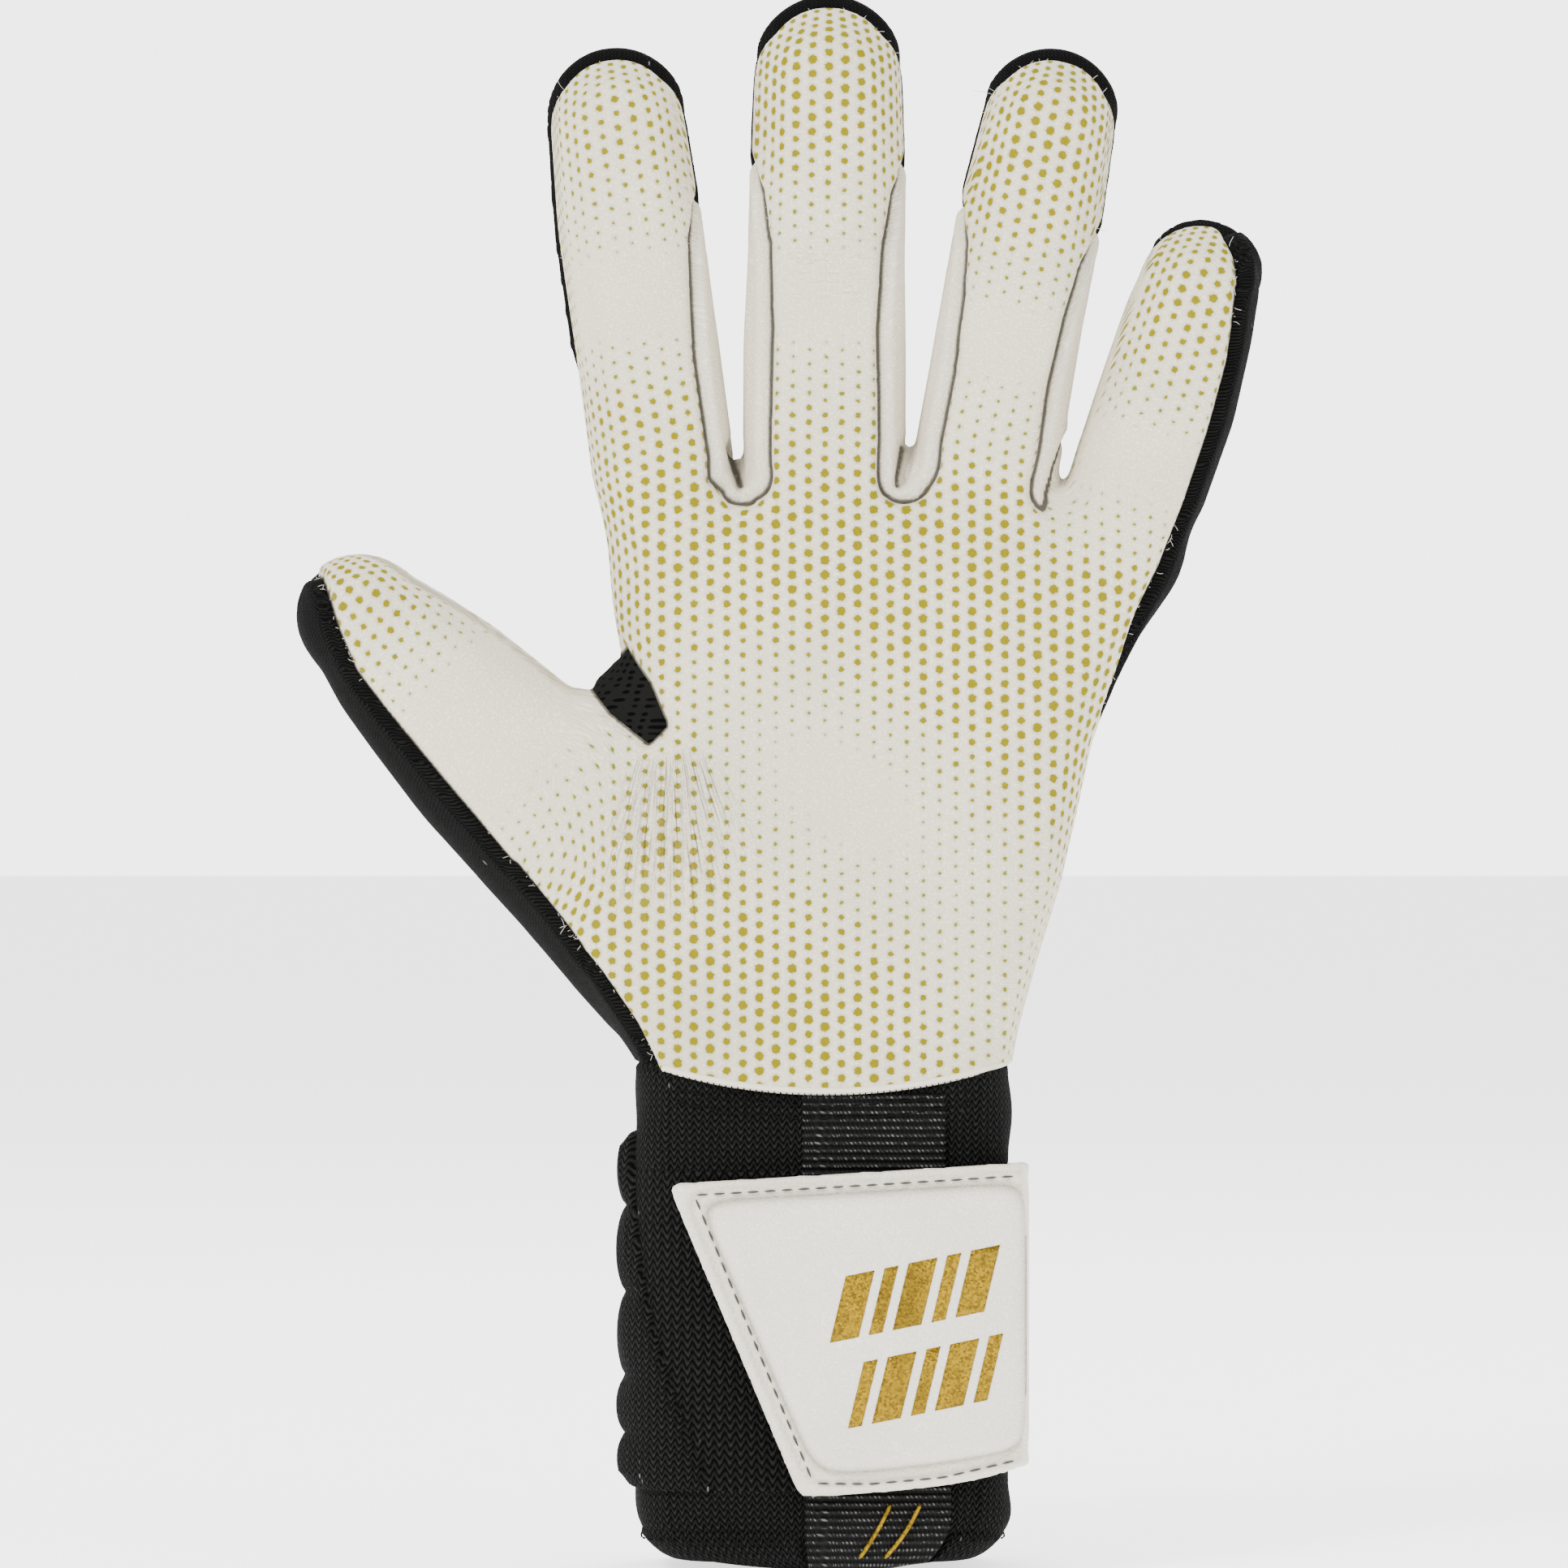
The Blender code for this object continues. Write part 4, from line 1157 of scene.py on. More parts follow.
# %% Gussets and side strips
side_mask = region == SIDE
side_normals = normals_of(points, triangles[side_mask])
x_mid, z_mid = middles[:, 0] - SHIFT_X, middles[:, 2]
for index, part in enumerate(SEGMENTS):
    left = side_mask & (segment == index)
    if part == "root":
        for name, here in ROOT_SIDES.items():
            chosen = left & here(x_mid, z_mid)
            left &= ~chosen
            if not chosen.any():
                continue
            dark = name.endswith("strip")
            material, slot = (backhand_cloth, "backhand") if dark else (gusset_latex, "gusset")
            turned_by(skin_piece(name, chosen, side_normals, material, slot, [name], cloth_side), part)
            done.add(name)
        continue
    digit = DIGITS[part.split("_")[0]]
    u, s = digit.local(middles)
    for side in (-1, 1):
        chosen = left & (np.sign(u) == side)
        if not chosen.any():
            continue
        dark = (digit.name, side) in (("little", 1), ("thumb", -1))
        material, slot = (backhand_cloth, "backhand") if dark else (gusset_latex, "gusset")
        node = SIDE_NODES.get(part, {}).get(side)
        name = node or f"{part}_{'strip' if dark else 'left_gusset' if side < 0 else 'right_gusset'}"
        replaced = [node] if node in NODE_NAMES else []
        turned_by(skin_piece(name, chosen, side_normals, material, slot, replaced, cloth_side), part)
        done.update(replaced)
skin_left = sorted(n for n in NODE_NAMES - done if not n.startswith(("wrist", "cuff", "strap", "closure")))
print("nodes still to stand for:", skin_left)

# %% [markdown]
# ## Wrist
# Below the palm's curved edge the glove is a flattened tube of black knit. Its patches are grids
# over that tube, measured round it from the middle of the palm side, so a weave has one scale all
# the way. Each patch rises a little over its neighbour and rolls down at its edges.

# %% Wrist tube
WRIST_X, HALF_WIDTH, HALF_DEPTH = 7.4 + SHIFT_X, 35.4, 20.3
TURNS = np.linspace(-math.pi, math.pi, 721)
SQUARE = 2 / 4.0


def oval(turn, width, depth):
    """Plan view of the wrist. turn is 0 at the palm side and grows towards the little finger."""
    x = width * np.sign(np.sin(turn)) * np.abs(np.sin(turn)) ** SQUARE
    y = -depth * np.sign(np.cos(turn)) * np.abs(np.cos(turn)) ** SQUARE
    return x, y


ROUND_X, ROUND_Y = oval(TURNS, HALF_WIDTH, HALF_DEPTH)
AROUND = np.concatenate([[0], np.cumsum(np.hypot(np.diff(ROUND_X), np.diff(ROUND_Y)))])
GIRTH = float(AROUND[-1])
AROUND = AROUND - GIRTH / 2
HALF_GIRTH = GIRTH / 2


def narrowing(z):
    """How far the cuff's rounded bottom draws in at the sides."""
    return 10.5 * np.clip(1 - np.asarray(z, float) / 12.5, 0, 1) ** 2.4


def wrist_points(a, z, grow):
    """World points at a millimetres round the wrist, raised by grow."""
    a = (np.asarray(a, float) + HALF_GIRTH) % GIRTH - HALF_GIRTH
    turn = np.interp(a, AROUND, TURNS)
    step = 0.02
    (x0, y0), (x1, y1) = oval(turn - step, HALF_WIDTH, HALF_DEPTH), oval(turn + step, HALF_WIDTH, HALF_DEPTH)
    length = np.maximum(np.hypot(x1 - x0, y1 - y0), 1e-9)
    out_x, out_y = (y1 - y0) / length, -(x1 - x0) / length
    x, y = oval(turn, HALF_WIDTH, HALF_DEPTH)
    share = 1 - narrowing(z) / HALF_WIDTH
    depth_share = 1 - 0.28 * narrowing(z) / HALF_DEPTH
    x = WRIST_X + x * share + out_x * grow
    y = MID_Y + y * depth_share + out_y * grow
    return np.stack([x, y, z + 0 * a], -1)


TUCK = 3.6  # how far the knit goes in under the palm's lower edge
UNDERLAP = 0.35  # how far a patch's edge sinks below the tube


def rolled_edge(depth, radius):
    """0 at the edge and 1 from radius inwards, round like a quarter circle."""
    return np.sqrt(np.clip(1 - (1 - np.clip(depth / radius, 0, 1)) ** 2, 0, 1))


def steps(low, high, pitch, edge=(0.12, 0.35, 0.7, 1.2)):
    """Values from low to high, closer together at both ends."""
    middle = np.linspace(low, high, max(3, int((high - low) / pitch) + 1))
    ends = [low + e for e in edge] + [high - e for e in edge]
    return np.unique(np.round(np.concatenate([middle, ends]), 4))


def grid_faces(rows, columns, flip=False):
    at = np.arange(rows * columns).reshape(rows, columns)
    quads = np.stack([at[:-1, :-1], at[:-1, 1:], at[1:, 1:], at[1:, :-1]], -1).reshape(-1, 4)
    return quads[:, ::-1] if flip else quads


def wrist_patch(name, sides, heights, rise, material, slot, replaced=(), relief=None, pitch=1.0, rolls=1.3):
    """A patch between two sides (functions of z) and two heights (functions of a)."""
    a_low, a_high = sides
    z_low, z_high = heights
    middle = (a_low(45.0) + a_high(45.0)) / 2
    width, height = a_high(45.0) - a_low(45.0), z_high(middle) - z_low(middle)
    p = steps(0, width, pitch) / width
    q = steps(0, height, pitch) / height
    share_p, share_q = np.meshgrid(p, q)
    guess = a_low(45.0) + share_p * width
    z = z_low(guess) + share_q * (z_high(guess) - z_low(guess))
    a = a_low(z) + share_p * (a_high(z) - a_low(z))
    z = z_low(a) + share_q * (z_high(a) - z_low(a))
    from_sides = np.minimum(share_p, 1 - share_p) * width
    inside = np.minimum(from_sides, np.minimum(share_q, 1 - share_q) * height)
    grow = -UNDERLAP + (rise + UNDERLAP) * rolled_edge(inside, rolls)
    if relief is not None:
        grow = grow + relief(a, z) * np.clip(inside / 3, 0, 1)
    made = wrist_points(a, z, grow)
    grow = grow - TUCK * smooth_step(palm_hem(made.reshape(-1, 3)).reshape(a.shape), -1.5, 2.5)
    made = wrist_points(a, z, grow).reshape(-1, 3)
    at = np.stack([a, z, 0 * a], -1).reshape(-1, 3)
    faces = grid_faces(*a.shape)
    return add_mesh(name, made, faces, material, "root", slot, replaced, cloth_at=at)


def always(value):
    return lambda other: value + 0 * np.asarray(other, float)


def curved_bottom(a):
    return 0.7 + 0.0024 * np.clip(np.abs(a) - 2, 0, 24) ** 2


def under_palm(a):
    """Up under the palm's curved lower edge, and on under the back of the hand."""
    return 100.5 + 0 * np.asarray(a)


def crumple(a, z):
    return 0.45 * np.sin(z / 3.1 + np.sin(a / 9) * 1.3) * np.sin(a / 6.5 + 1)


FRONT_HALF = 30.0
SIDE_END = 76.0
for name, a_from, a_to, rise in (
    ("wrist_knit_front", -FRONT_HALF, FRONT_HALF, 0.0),
    ("wrist_little_side", FRONT_HALF - 1, SIDE_END, 0.3),
    ("wrist_knit_back", SIDE_END - 1, GIRTH - SIDE_END + 1, 0.0),
    ("cuff_thumb_side", -SIDE_END, 1 - FRONT_HALF, 0.2),
):
    wrist_patch(name, (always(a_from), always(a_to)), (curved_bottom, under_palm), rise,
                wrist_cloth, "knit", [name], crumple)
print("the wrist is", round(GIRTH), "mm round")


# %% Loop panel and quilted anchor
def diagonal(z):
    """Where the anchor's sewn edge crosses the front, nearer the middle lower down."""
    rows = ((15, -20.5), (29, -26), (43.5, -31), (57, -35), (71, -39), (84, -41))
    return np.interp(z, [r[0] for r in rows], [r[1] for r in rows])


NOTCHES = (15.5, 25.7, 36.3, 52.5, 68.8, 83)


def quilting(a, z):
    """Pillows between sewn lines, full round the thumb side and flat towards the sewn edge."""
    rise = np.zeros_like(z)
    for low, high in zip(NOTCHES, NOTCHES[1:]):
        t = np.clip((z - low) / (high - low) * 2 - 1, -1, 1)
        rise += np.where(np.abs(t) < 1, (1 - t**2) ** 0.55, 0)
    side = smooth_step(-a, 33, 44) * (1 - smooth_step(-a, 62, 73))
    shallow = 1 - smooth_step(-a, 60, 72)
    return (1.9 * side + 0.35 * shallow) * rise + 0.25 * np.sin(a / 2.7 + z / 5) * side - 0.9 * (1 - shallow)


wrist_patch("loop_patch", (lambda z: diagonal(z) - 2, always(-3.0)), (always(15.5), always(76.5)), 0.7,
            pile_cloth, "loop", ["loop_patch"])
wrist_patch("strap_anchor", (always(-88.0), diagonal), (always(15.5), always(83.0)), 1.6,
            wrist_cloth, "knit", ["strap_anchor"], quilting, rolls=1.0)


# %% Webbing, pull tab and cuff hem
def stretched(a, z):
    return 0.35 * np.sin(a / 4.4) * np.sin(z / 7)


def tab_bottom(a):
    return 0.1 + 0.17 * np.clip(np.asarray(a, float) - 12, 0, 30)


def hem_top(a):
    return curved_bottom(a) + 5.6


wrist_patch("wrist_webbing", (always(-4.0), always(23.2)), (always(20.0), always(91.0)), 1.0,
            webbing, "webbing", ["wrist_webbing"], stretched, rolls=0.8)
wrist_patch("pull_tab", (always(-3.6), always(24.2)), (tab_bottom, always(19.4)), 1.9,
            webbing, "webbing", ["pull_tab"], stretched, rolls=0.8)
wrist_patch("cuff_hem", (always(24.6), always(GIRTH - 4.2)), (curved_bottom, hem_top), 0.9,
            wrist_cloth, "knit", ["cuff_hem"], rolls=1.6)

# %% [markdown]
# ## Threads and tubes
# Stitches, overlock and fluff are thin tubes along short paths. Each kind is joined into one
# piece for each body, because there are hundreds of them.

# %% Tubes


def tube(path, radius, sides=6, tapered=True):
    """Points and faces of a round tube with closed ends."""
    path = np.asarray(path, float)
    ahead = np.gradient(path, axis=0)
    ahead /= np.maximum(np.linalg.norm(ahead, axis=1, keepdims=True), 1e-9)
    aside = np.cross(ahead, (0.31, 0.84, 0.44))
    aside /= np.maximum(np.linalg.norm(aside, axis=1, keepdims=True), 1e-9)
    other = np.cross(ahead, aside)
    size = np.full(len(path), radius)
    if tapered:
        size[[0, -1]] *= 0.45
    verts, faces = [], []
    for k in range(sides):
        turn = 2 * math.pi * k / sides
        verts.append(path + (aside * math.cos(turn) + other * math.sin(turn)) * size[:, None])
    verts = np.stack(verts, axis=1).reshape(-1, 3)
    for i in range(len(path) - 1):
        for k in range(sides):
            j = (k + 1) % sides
            faces.append((i * sides + k, i * sides + j, (i + 1) * sides + j, (i + 1) * sides + k))
    faces.append(tuple(range(sides - 1, -1, -1)))
    faces.append(tuple(range((len(path) - 1) * sides, len(path) * sides)))
    return verts, faces


def joined(parts):
    """Points and faces of several meshes as one."""
    verts, faces, start = [], [], 0
    for points_of, faces_of in parts:
        verts.append(points_of)
        faces += [tuple(i + start for i in face) for face in faces_of]
        start += len(points_of)
    return np.concatenate(verts), faces


def dashes(path, stitch, gap, radius, sides=6):
    """Stitches along a path, each a short tube that narrows at its ends."""
    path = np.asarray(path, float)
    run = np.concatenate([[0], np.cumsum(np.linalg.norm(np.diff(path, axis=0), axis=1))])
    parts = []
    for start in np.arange(0, run[-1] - stitch, stitch + gap):
        at = np.linspace(start, start + stitch, 4)
        parts.append(tube(np.stack([np.interp(at, run, path[:, k]) for k in range(3)], -1), radius, sides))
    return parts


# %% [markdown]
# ## Closure strap
# The strap is a flat coated band with a slanted free end, sewn round its border, and a foam panel
# under a second layer of coating. Each is cut from a fine sheet of triangles by its outline.

# %% Panels cut by an outline
STRAP_MID_X = 12.0


def strap_face(x, z):
    """y of the strap's outer face: it curves back a little towards both ends."""
    return -24.0 + 0.0016 * (x - STRAP_MID_X) ** 2 + 0.10 * np.sin(x / 8 + z / 13)


def depth_inside(x, z, outline, rounding):
    """Distance inside a convex outline whose corners are rounded, negative outside."""
    outline = np.array(outline, float) + (SHIFT_X, 0)
    sharp = 2.37 / rounding
    total = np.zeros_like(x)
    for (x0, z0), (x1, z1) in zip(outline, np.roll(outline, -1, axis=0)):
        length = math.hypot(x1 - x0, z1 - z0)
        away = ((x1 - x0) * (z - z0) - (z1 - z0) * (x - x0)) / length
        total += np.exp(np.clip(-sharp * away, -60, 60))
    return -np.log(total) / sharp


def cut_panel(outline, rounding, pitch=0.7):
    """Points in x and z, triangles, and distance inside, of a flat panel."""
    low = np.min(outline, axis=0) - 1
    high = np.max(outline, axis=0) + (1 + SHIFT_X, 1)
    xs, zs = np.arange(low[0], high[0], pitch), np.arange(low[1], high[1], pitch)
    grid_x, grid_z = np.meshgrid(xs, zs)
    flat = np.column_stack([grid_x.ravel(), 0 * grid_x.ravel(), grid_z.ravel()])
    quads = grid_faces(*grid_x.shape)
    tris = np.concatenate([quads[:, [0, 1, 2]], quads[:, [0, 2, 3]]])
    depth = depth_inside(flat[:, 0], flat[:, 2], outline, rounding)[:, None]
    flat, tris, depth = cut_along(flat, tris, depth, 0, snap=0.12)
    tris = tris[depth[tris, 0].sum(axis=1) > 1e-6]
    used, faces = np.unique(tris, return_inverse=True)
    flat = flat[used]
    return flat[:, 0], flat[:, 2], faces.reshape(-1, 3), np.maximum(depth[used, 0], 0)


def closed_faces(faces, count):
    """Faces of a sheet, of its reverse count points on, and of the wall between their rims."""
    corners = faces.shape[1]
    sides = np.concatenate([faces[:, [i, (i + 1) % corners]] for i in range(corners)])
    key = np.sort(sides, axis=1)
    _, first, seen = np.unique(key, axis=0, return_index=True, return_counts=True)
    walls = [(b, a, a + count, b + count) for a, b in sides[first[seen == 1]]]
    return [tuple(f) for f in faces] + [tuple(f[::-1] + count) for f in faces] + walls


def closed_panel(x, z, faces, front, back):
    """A front and a back surface with a wall between them along the cut edge."""
    verts = np.concatenate([np.column_stack([x, front, z]), np.column_stack([x, back, z])])
    return verts, closed_faces(faces, len(x))


# %% Strap and its padded panel
STRAP_OUTLINE = [(3.0, 15), (26.9, 16.3), (36, 17.6), (45, 20.6), (45, 78.0), (-21.9, 74.0)]
PAD_OUTLINE = [(6.4, 18.3), (16.3, 18.2), (30.7, 19.9), (45.6, 23.2), (45.6, 74.4), (-16.2, 70.9)]
STRAP_THICK = 2.3
PAD_RISE = 3.0


def pad_face(x, z):
    depth = depth_inside(np.asarray(x, float), np.asarray(z, float), PAD_OUTLINE, 5.0)
    crown = 0.7 * smooth_step(depth, 0, 22) + 0.12 * np.sin(x / 5.1) * np.sin(z / 6.3)
    return strap_face(x, z) - PAD_RISE * rolled_edge(depth, 2.6) - crown * smooth_step(depth, 1, 6)


x, z, faces, depth = cut_panel(STRAP_OUTLINE, 2.0)
front = strap_face(x, z) + 0.8 * (1 - rolled_edge(depth, 0.9))
groove = 0.3 * np.exp(-(((depth - 2.6) / 0.45) ** 2))
verts, faces = closed_panel(x, z, faces, front + groove, strap_face(x, z) + STRAP_THICK)
pad_edge = depth_inside(verts[:, 0], verts[:, 2], PAD_OUTLINE, 5.0)
# Painted shade on the strap round the pad's rim, and a fainter dark line 2.2 mm outside it.
seam = 0.35 * np.exp(-((pad_edge / 0.7) ** 2)) + 0.25 * np.exp(-((pad_edge + 2.2) / 0.5) ** 2)
add_mesh("closure_strap", verts, faces, strap_coat, "strap", "strap", ["closure_strap"],
         cloth_at=verts[:, [0, 2, 1]], seam=seam)

x, z, faces, depth = cut_panel(PAD_OUTLINE, 5.0)
verts, faces = closed_panel(x, z, faces, pad_face(x, z), strap_face(x, z) - 0.02)
shade = np.concatenate([0.42 * np.exp(-((depth / 0.55) ** 2)), np.zeros(len(x))])
pad = add_mesh("strap_pad", verts, faces, pad_coat, "strap", "strap", ["strap_pad"],
               cloth_at=verts[:, [0, 2, 1]], seam=shade)

HOOK_OUTLINE = [(-3, 33), (9, 33), (9, 71), (-16.5, 71)]
x, z, faces, depth = cut_panel(HOOK_OUTLINE, 1.5, 1.2)
under = strap_face(x, z) + STRAP_THICK
verts, faces = closed_panel(x, z, faces, under + 0.05, under + 0.9)
add_mesh("hook_patch", verts, faces, pile_cloth, "strap", "loop", ["hook_patch"],
         cloth_at=verts[:, [0, 2, 1]])
print("the strap is", round(STRAP_OUTLINE[4][0] - STRAP_OUTLINE[5][0]), "mm wide along its top")


# %% Strap stitching and foil bars
def on_strap(line, lift=0.12, count=60):
    """A smooth run of points on the strap's face from a few corners in x and z."""
    line = np.array(line, float) + (SHIFT_X, 0)
    run = np.concatenate([[0], np.cumsum(np.hypot(*np.diff(line, axis=0).T))])
    at = np.linspace(0, run[-1], count)
    x, z = np.interp(at, run, line[:, 0]), np.interp(at, run, line[:, 1])
    return np.column_stack([x, strap_face(x, z) - lift, z])


STITCH, STITCH_GAP = 2.1, 1.1
rows = dashes(on_strap([(-16.6, 71.2), (-6.1, 45.6), (5.2, 18.6)]), STITCH, STITCH_GAP, 0.24)
rows += dashes(on_strap([(-16.4, 72.0), (44.6, 75.6)]), STITCH, STITCH_GAP, 0.22)
lower_row = on_strap([(6.4, 17.8), (16.5, 17.7), (30, 18.9), (44.6, 22.2)])
rows += dashes(lower_row, STITCH, STITCH_GAP, 0.22)
add_mesh("strap_stitching", *joined(rows), stitch_thread, "strap", "strap")

BAR_SLANT = 0.24  # how far a bar leans for each millimetre of height
BAR_CLIMB = 0.2  # how fast the row of bars rises to the right
BAR_HEIGHT = 12.5
BAR_GAP = 1.9
WIDE, NARROW = 5.4, 2.6
FOIL = 0.12


def foil_bar(x, z, width, height):
    """One slanted bar of foil that follows the pad's surface."""
    steps_x, steps_z = np.linspace(0, width, 7), np.linspace(0, height, 15)
    across, up = np.meshgrid(steps_x, steps_z)
    at_x = x + SHIFT_X + across + up * BAR_SLANT
    at_z = z + up + across * BAR_CLIMB
    front = pad_face(at_x, at_z) - FOIL
    top = np.column_stack([at_x.ravel(), front.ravel(), at_z.ravel()])
    bottom = top + (0, 2 * FOIL, 0)
    return np.concatenate([top, bottom]), closed_faces(grid_faces(*across.shape), len(top))


bars = []
for start, base, widths in (
    (8.6, 44.5, (WIDE, NARROW, WIDE, NARROW, WIDE)), (12.0, 28.4, (NARROW, WIDE, NARROW, WIDE, NARROW)),
):
    x = start
    for width in widths:
        bars.append(foil_bar(x, base + (x - start) * BAR_CLIMB, width, BAR_HEIGHT))
        x += width + BAR_GAP
add_mesh("strap_foil_bars", *joined(bars), gold_foil, "strap", "strap")
print(len(rows), "strap stitches,", len(bars), "foil bars")

# %% Gold lines on the pull tab
def on_wrist(a, z, rise):
    return wrist_points(np.asarray(a, float), np.asarray(z, float), rise)


marks = []
for start in (8.0, 13.5):
    share = np.linspace(0, 1, 24)
    marks.append(tube(on_wrist(start + 4.6 * share, 3.2 + 10.2 * share, 2.25), 0.42, 6))
add_mesh("pull_tab_gold_lines", *joined(marks), gold_foil, "root", "webbing")

# %% Overlock thread along the palm's lower edge, and seams sewn on the wrist
random = np.random.default_rng(7)
edge_used = np.unique(triangles[(region == LATEX) & (segment == 0)])
edge_used = edge_used[np.abs(palm_hem(points[edge_used])) < 0.35]
edge_used = edge_used[np.argsort(points[edge_used, 0])]
edge_x = np.linspace(points[edge_used, 0].min() + 0.5, points[edge_used, 0].max() - 0.5, 150)
edge_y = np.interp(edge_x, points[edge_used, 0], points[edge_used, 1])
edge_y = np.convolve(np.pad(edge_y, 4, mode="edge"), np.ones(9) / 9, "valid")
edge_z = hem_height(edge_x)
lip = np.column_stack([edge_x, edge_y + 0.35, edge_z + 0.35])
add_mesh("palm_edge_roll", *tube(lip, 0.75, 10), gusset_latex, "root", "gusset",
         print_at=np.zeros((10 * len(lip), 3)), to_seam=np.full(10 * len(lip), 5.0))
overlock = []
for i, x in enumerate(np.arange(edge_x[0] + 0.6, edge_x[-1] - 0.6, 1.15)):
    y = np.interp(x, edge_x, edge_y)
    z = hem_height(x)
    wobble = random.normal(0, 0.12, 3)
    end = (x + 0.1 + wobble[0], y, z - 1.7 + wobble[1])
    overlock.append(tube([(x, y - 0.35, z - 0.1), (x + 0.25, y - 0.5, z - 0.7), end], 0.2, 5))
add_mesh("palm_edge_overlock", *joined(overlock), dark_thread, "root", "knit")

seams = []
z_run = np.linspace(17, 82, 80)
seams += dashes(on_wrist(diagonal(z_run) - 1.6, z_run, 1.75), 2.0, 1.0, 0.22)
a_run = np.linspace(-28, 30, 90)
over_webbing = (a_run > -4) & (a_run < 23.2)
for level in (86.2, 88.6):
    row = on_wrist(a_run, level + 0.0040 * a_run**2, 0.3 + 1.0 * over_webbing)
    seams += dashes(row, 2.2, 0.9, 0.2)
a_run = np.linspace(26, GIRTH - 6, 300)
seams += dashes(on_wrist(a_run, curved_bottom(a_run) + 4, 1.35), 2.2, 1.0, 0.2)
add_mesh("wrist_stitching", *joined(seams), dark_thread, "root", "knit")
print(len(overlock), "overlock stitches,", len(seams), "seam stitches")

# %% Fluff along the seams between white and black
HAIRS = 240


def body_of(point):
    """The body that a hair at this point rides on: a digit's tip past its middle hinge, None lower on a
    digit, the root elsewhere.
    """
    body = "root"
    for digit in DIGITS.values():
        u, s = digit.local(point[None])
        low, high = digit.edge(s)
        if not low[0] - 4 < u[0] < high[0] + 4:
            continue
        if s[0] > digit.middle + SHORTEST_TURN:
            body = digit.name + "_tip"
        elif s[0] > BLENDS[digit.name][0] and body == "root":
            body = None
    return body


both = belongs[:, LATEX] & (belongs[:, BACKHAND] | belongs[:, SIDE]) & (points[:, 1] < 6)
along_strips = (inside_strips(points) < 2.5) | (points[:, 2] > 250)
choices = np.flatnonzero(both & along_strips & (palm_hem(points) > 2))
hairs = {}
for pick in random.choice(choices, HAIRS):
    base = points[pick]
    heading = outward[pick] * random.uniform(0.2, 1) + random.normal(0, 0.8, 3)
    heading /= np.linalg.norm(heading)
    curl = np.cross(heading, random.normal(0, 1, 3)) * random.uniform(0.2, 0.8)
    length = random.uniform(0.5, 1.6) if random.random() < 0.95 else random.uniform(2, 3.2)
    t = np.linspace(0, 1, 6)[:, None]
    path = base + outward[pick] * 0.3 + heading * t * length + curl * (t**2) * length
    if path[:, 1].min() < -27 or path[:, 2].max() > 300:
        continue
    body = body_of(base)
    if body:
        hairs.setdefault(body, []).append(tube(path, 0.055, 4))
for body, made in hairs.items():
    add_mesh(f"{body}_seam_fluff", *joined(made), white_fluff, body, "gusset")
print({body: len(made) for body, made in hairs.items()}, "hairs")

# %% Strap's sewn part, round the little-finger side to the back
WRAP_PLAN = np.array([
    (43.6, -22.4), (45.6, -21.4), (46.9, -19), (47.2, -14), (47.3, -4), (47.2, 8), (46.6, 16), (44.4, 21.6),
    (39, 25.2), (28, 26.6), (8, 27.0), (-10, 26.7), (-19.4, 25.9),
])
WRAP_THICK = 1.7
WRAP_HEIGHT = 57.0


def smooth_path(corners, count):
    """A curve through the corners, by Catmull-Rom."""
    padded = np.concatenate([[2 * corners[0] - corners[1]], corners, [2 * corners[-1] - corners[-2]]])
    at = np.linspace(0, len(corners) - 1 - 1e-6, count)
    i = at.astype(int)
    t = (at - i)[:, None]
    a, b, c, d = (padded[i + k] for k in range(4))
    return 0.5 * (2 * b + (c - a) * t + (2 * a - 5 * b + 4 * c - d) * t**2 + (3 * b - 3 * c + d - a) * t**3)


plan = smooth_path(WRAP_PLAN, 110)
run = np.concatenate([[0], np.cumsum(np.hypot(*np.diff(plan, axis=0).T))])
ahead = np.gradient(plan, axis=0)
ahead /= np.linalg.norm(ahead, axis=1, keepdims=True)
out = np.column_stack([ahead[:, 1], -ahead[:, 0]])
up = steps(0, 1, 0.05, edge=(0.004, 0.01, 0.02))
run_grid, up_grid = np.meshgrid(run, up)
low = 20.6 + 2.2 * smooth_step(run_grid, 0, 60)
high = 78 - 2.6 * smooth_step(run_grid, 0, 60)
z = low + (high - low) * up_grid
edge = np.minimum(np.minimum(up_grid, 1 - up_grid) * WRAP_HEIGHT, run[-1] - run_grid)
rolled = rolled_edge(edge, 1.0)
outer = 0.9 * (rolled - 1) - 0.25 * np.exp(-(((edge - 2.8) / 0.5) ** 2))
sheets = []
for level in (outer, np.full_like(outer, -WRAP_THICK)):
    x = plan[:, 0] + out[:, 0] * level
    y = plan[:, 1] + out[:, 1] * level
    sheets.append(np.stack([x, y, z], -1).reshape(-1, 3))
wrap_faces = closed_faces(grid_faces(*z.shape), z.size)
at = np.tile(np.column_stack([run_grid.ravel(), z.ravel(), 0 * z.ravel()]), (2, 1))
wrap = add_mesh("strap_back_wrap", np.concatenate(sheets), wrap_faces, strap_coat, None, "strap",
                ["strap_back_wrap"], cloth_at=at, seam=np.zeros(len(at)))
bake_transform(wrap)
sewn = []
for inward in (4.0, 6.5):  # two rows of stitches near the sewn end
    i = int(np.argmin(np.abs(run - (run[-1] - inward))))
    spot = plan[i] + out[i] * 0.1
    row = [(*spot, low[0, i] + height) for height in np.linspace(3.42, 49.82, 60)]
    sewn += dashes(row, STITCH, STITCH_GAP, 0.24)
add_mesh("strap_back_stitching", *joined(sewn), stitch_thread, "root", "strap")
print("the strap's sewn part runs", round(float(run[-1])), "mm round the wrist")

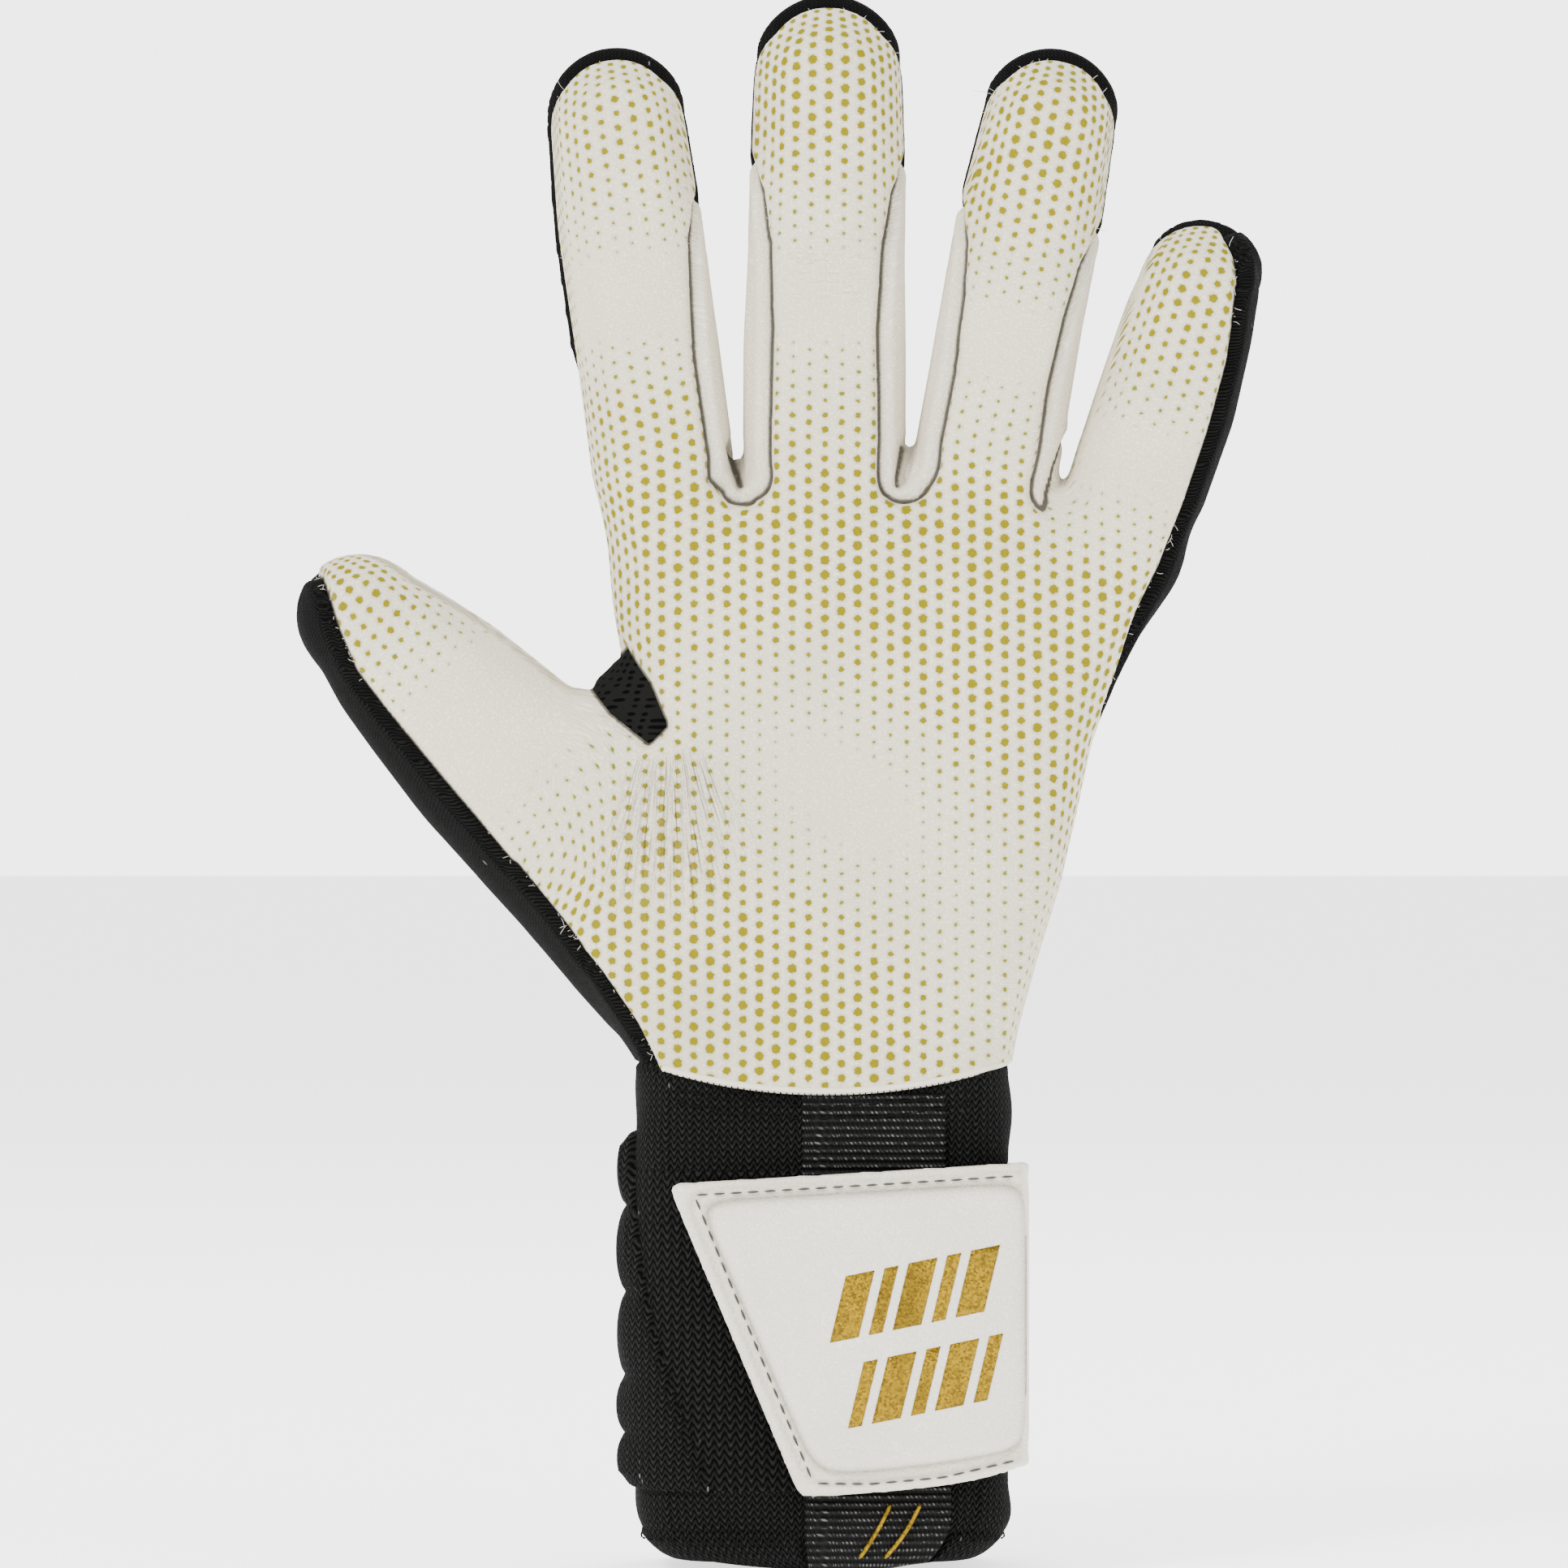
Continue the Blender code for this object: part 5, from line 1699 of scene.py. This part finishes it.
# %% [markdown]
# ## Light, floor and camera
# A plain pale floor that glows a little, under a pale sky that looks brighter than the light it
# gives. One soft key from the upper left, a fill from the right, a top light, and a weak rim light
# from behind. The camera looks level, from far enough for almost parallel lines.

# %% Stage


def area_light(name, place, size, power, target=(0, 0, 0.15)):
    data = bpy.data.lights.new(name, "AREA")
    data.shape = "DISK"
    data.size = size
    data.energy = power
    lamp = bpy.data.objects.new(name, data)
    lamp.location = place
    lamp.rotation_mode = "QUATERNION"
    lamp.rotation_quaternion = (Vector(target) - Vector(place)).to_track_quat("-Z", "Y")
    bpy.context.scene.collection.objects.link(lamp)


area_light("key", (-1.0, -1.1, 1.4), 0.6, 44)
area_light("fill", (1.3, -1.0, 0.5), 1.1, 9)
area_light("top", (0.1, 0.7, 1.4), 0.8, 14)
area_light("rim", (1.0, 1.0, 0.8), 0.8, 7)

SKY = 1.55  # the light that the sky gives
PAPER_GLOW = 1.6  # lifts the floor towards the backdrop's white
BACKDROP = 4.2  # how bright the same sky looks behind the glove
world = bpy.data.worlds.new("pale_studio")
world.use_nodes = True
sky = world.node_tree.nodes["Background"]
sky.inputs["Color"].default_value = (1.0, 1.0, 1.0, 1)
rays = world.node_tree.nodes.new("ShaderNodeLightPath").outputs["Is Camera Ray"]
seen = math_node(world.node_tree, "MULTIPLY_ADD", rays, BACKDROP - SKY, SKY)
world.node_tree.links.new(seen, sky.inputs["Strength"])
bpy.context.scene.world = world

floor_mesh = bpy.data.meshes.new("floor")
FLOOR = 12
corners = [(-FLOOR, -FLOOR, 0), (FLOOR, -FLOOR, 0), (FLOOR, FLOOR, 0), (-FLOOR, FLOOR, 0)]
floor_mesh.from_pydata(corners, [], [(0, 1, 2, 3)])
floor = bpy.data.objects.new("floor", floor_mesh)
bpy.context.scene.collection.objects.link(floor)
paper, tree, shader = new_material("pale_paper", 0.9, Specular_IOR_Level=0.1, Emission_Strength=PAPER_GLOW)
shader.inputs["Emission Color"].default_value = (1, 1, 1, 1)
grain = put(tree, "TexNoise", {"Vector": put(tree, "TexCoord").outputs["Object"], "Scale": 40.0}).outputs[0]
tree.links.new(mix(tree, grain, (0.97, 0.97, 0.97), (0.955, 0.955, 0.955)), shader.inputs["Base Color"])
floor_mesh.materials.append(paper)

# %% Camera
FRAMED = 0.2995  # metres of the object's plane that the frame takes in
AWAY = 1.6
SENSOR = 36.0
camera_data = bpy.data.cameras.new("camera")
camera_data.sensor_width = SENSOR
camera_data.lens = SENSOR * AWAY / FRAMED
camera = bpy.data.objects.new("camera", camera_data)
camera.location = (0.0008, -AWAY, 0.1494)
camera.rotation_euler = (math.pi / 2, 0, 0)
bpy.context.scene.collection.objects.link(camera)
bpy.context.scene.camera = camera
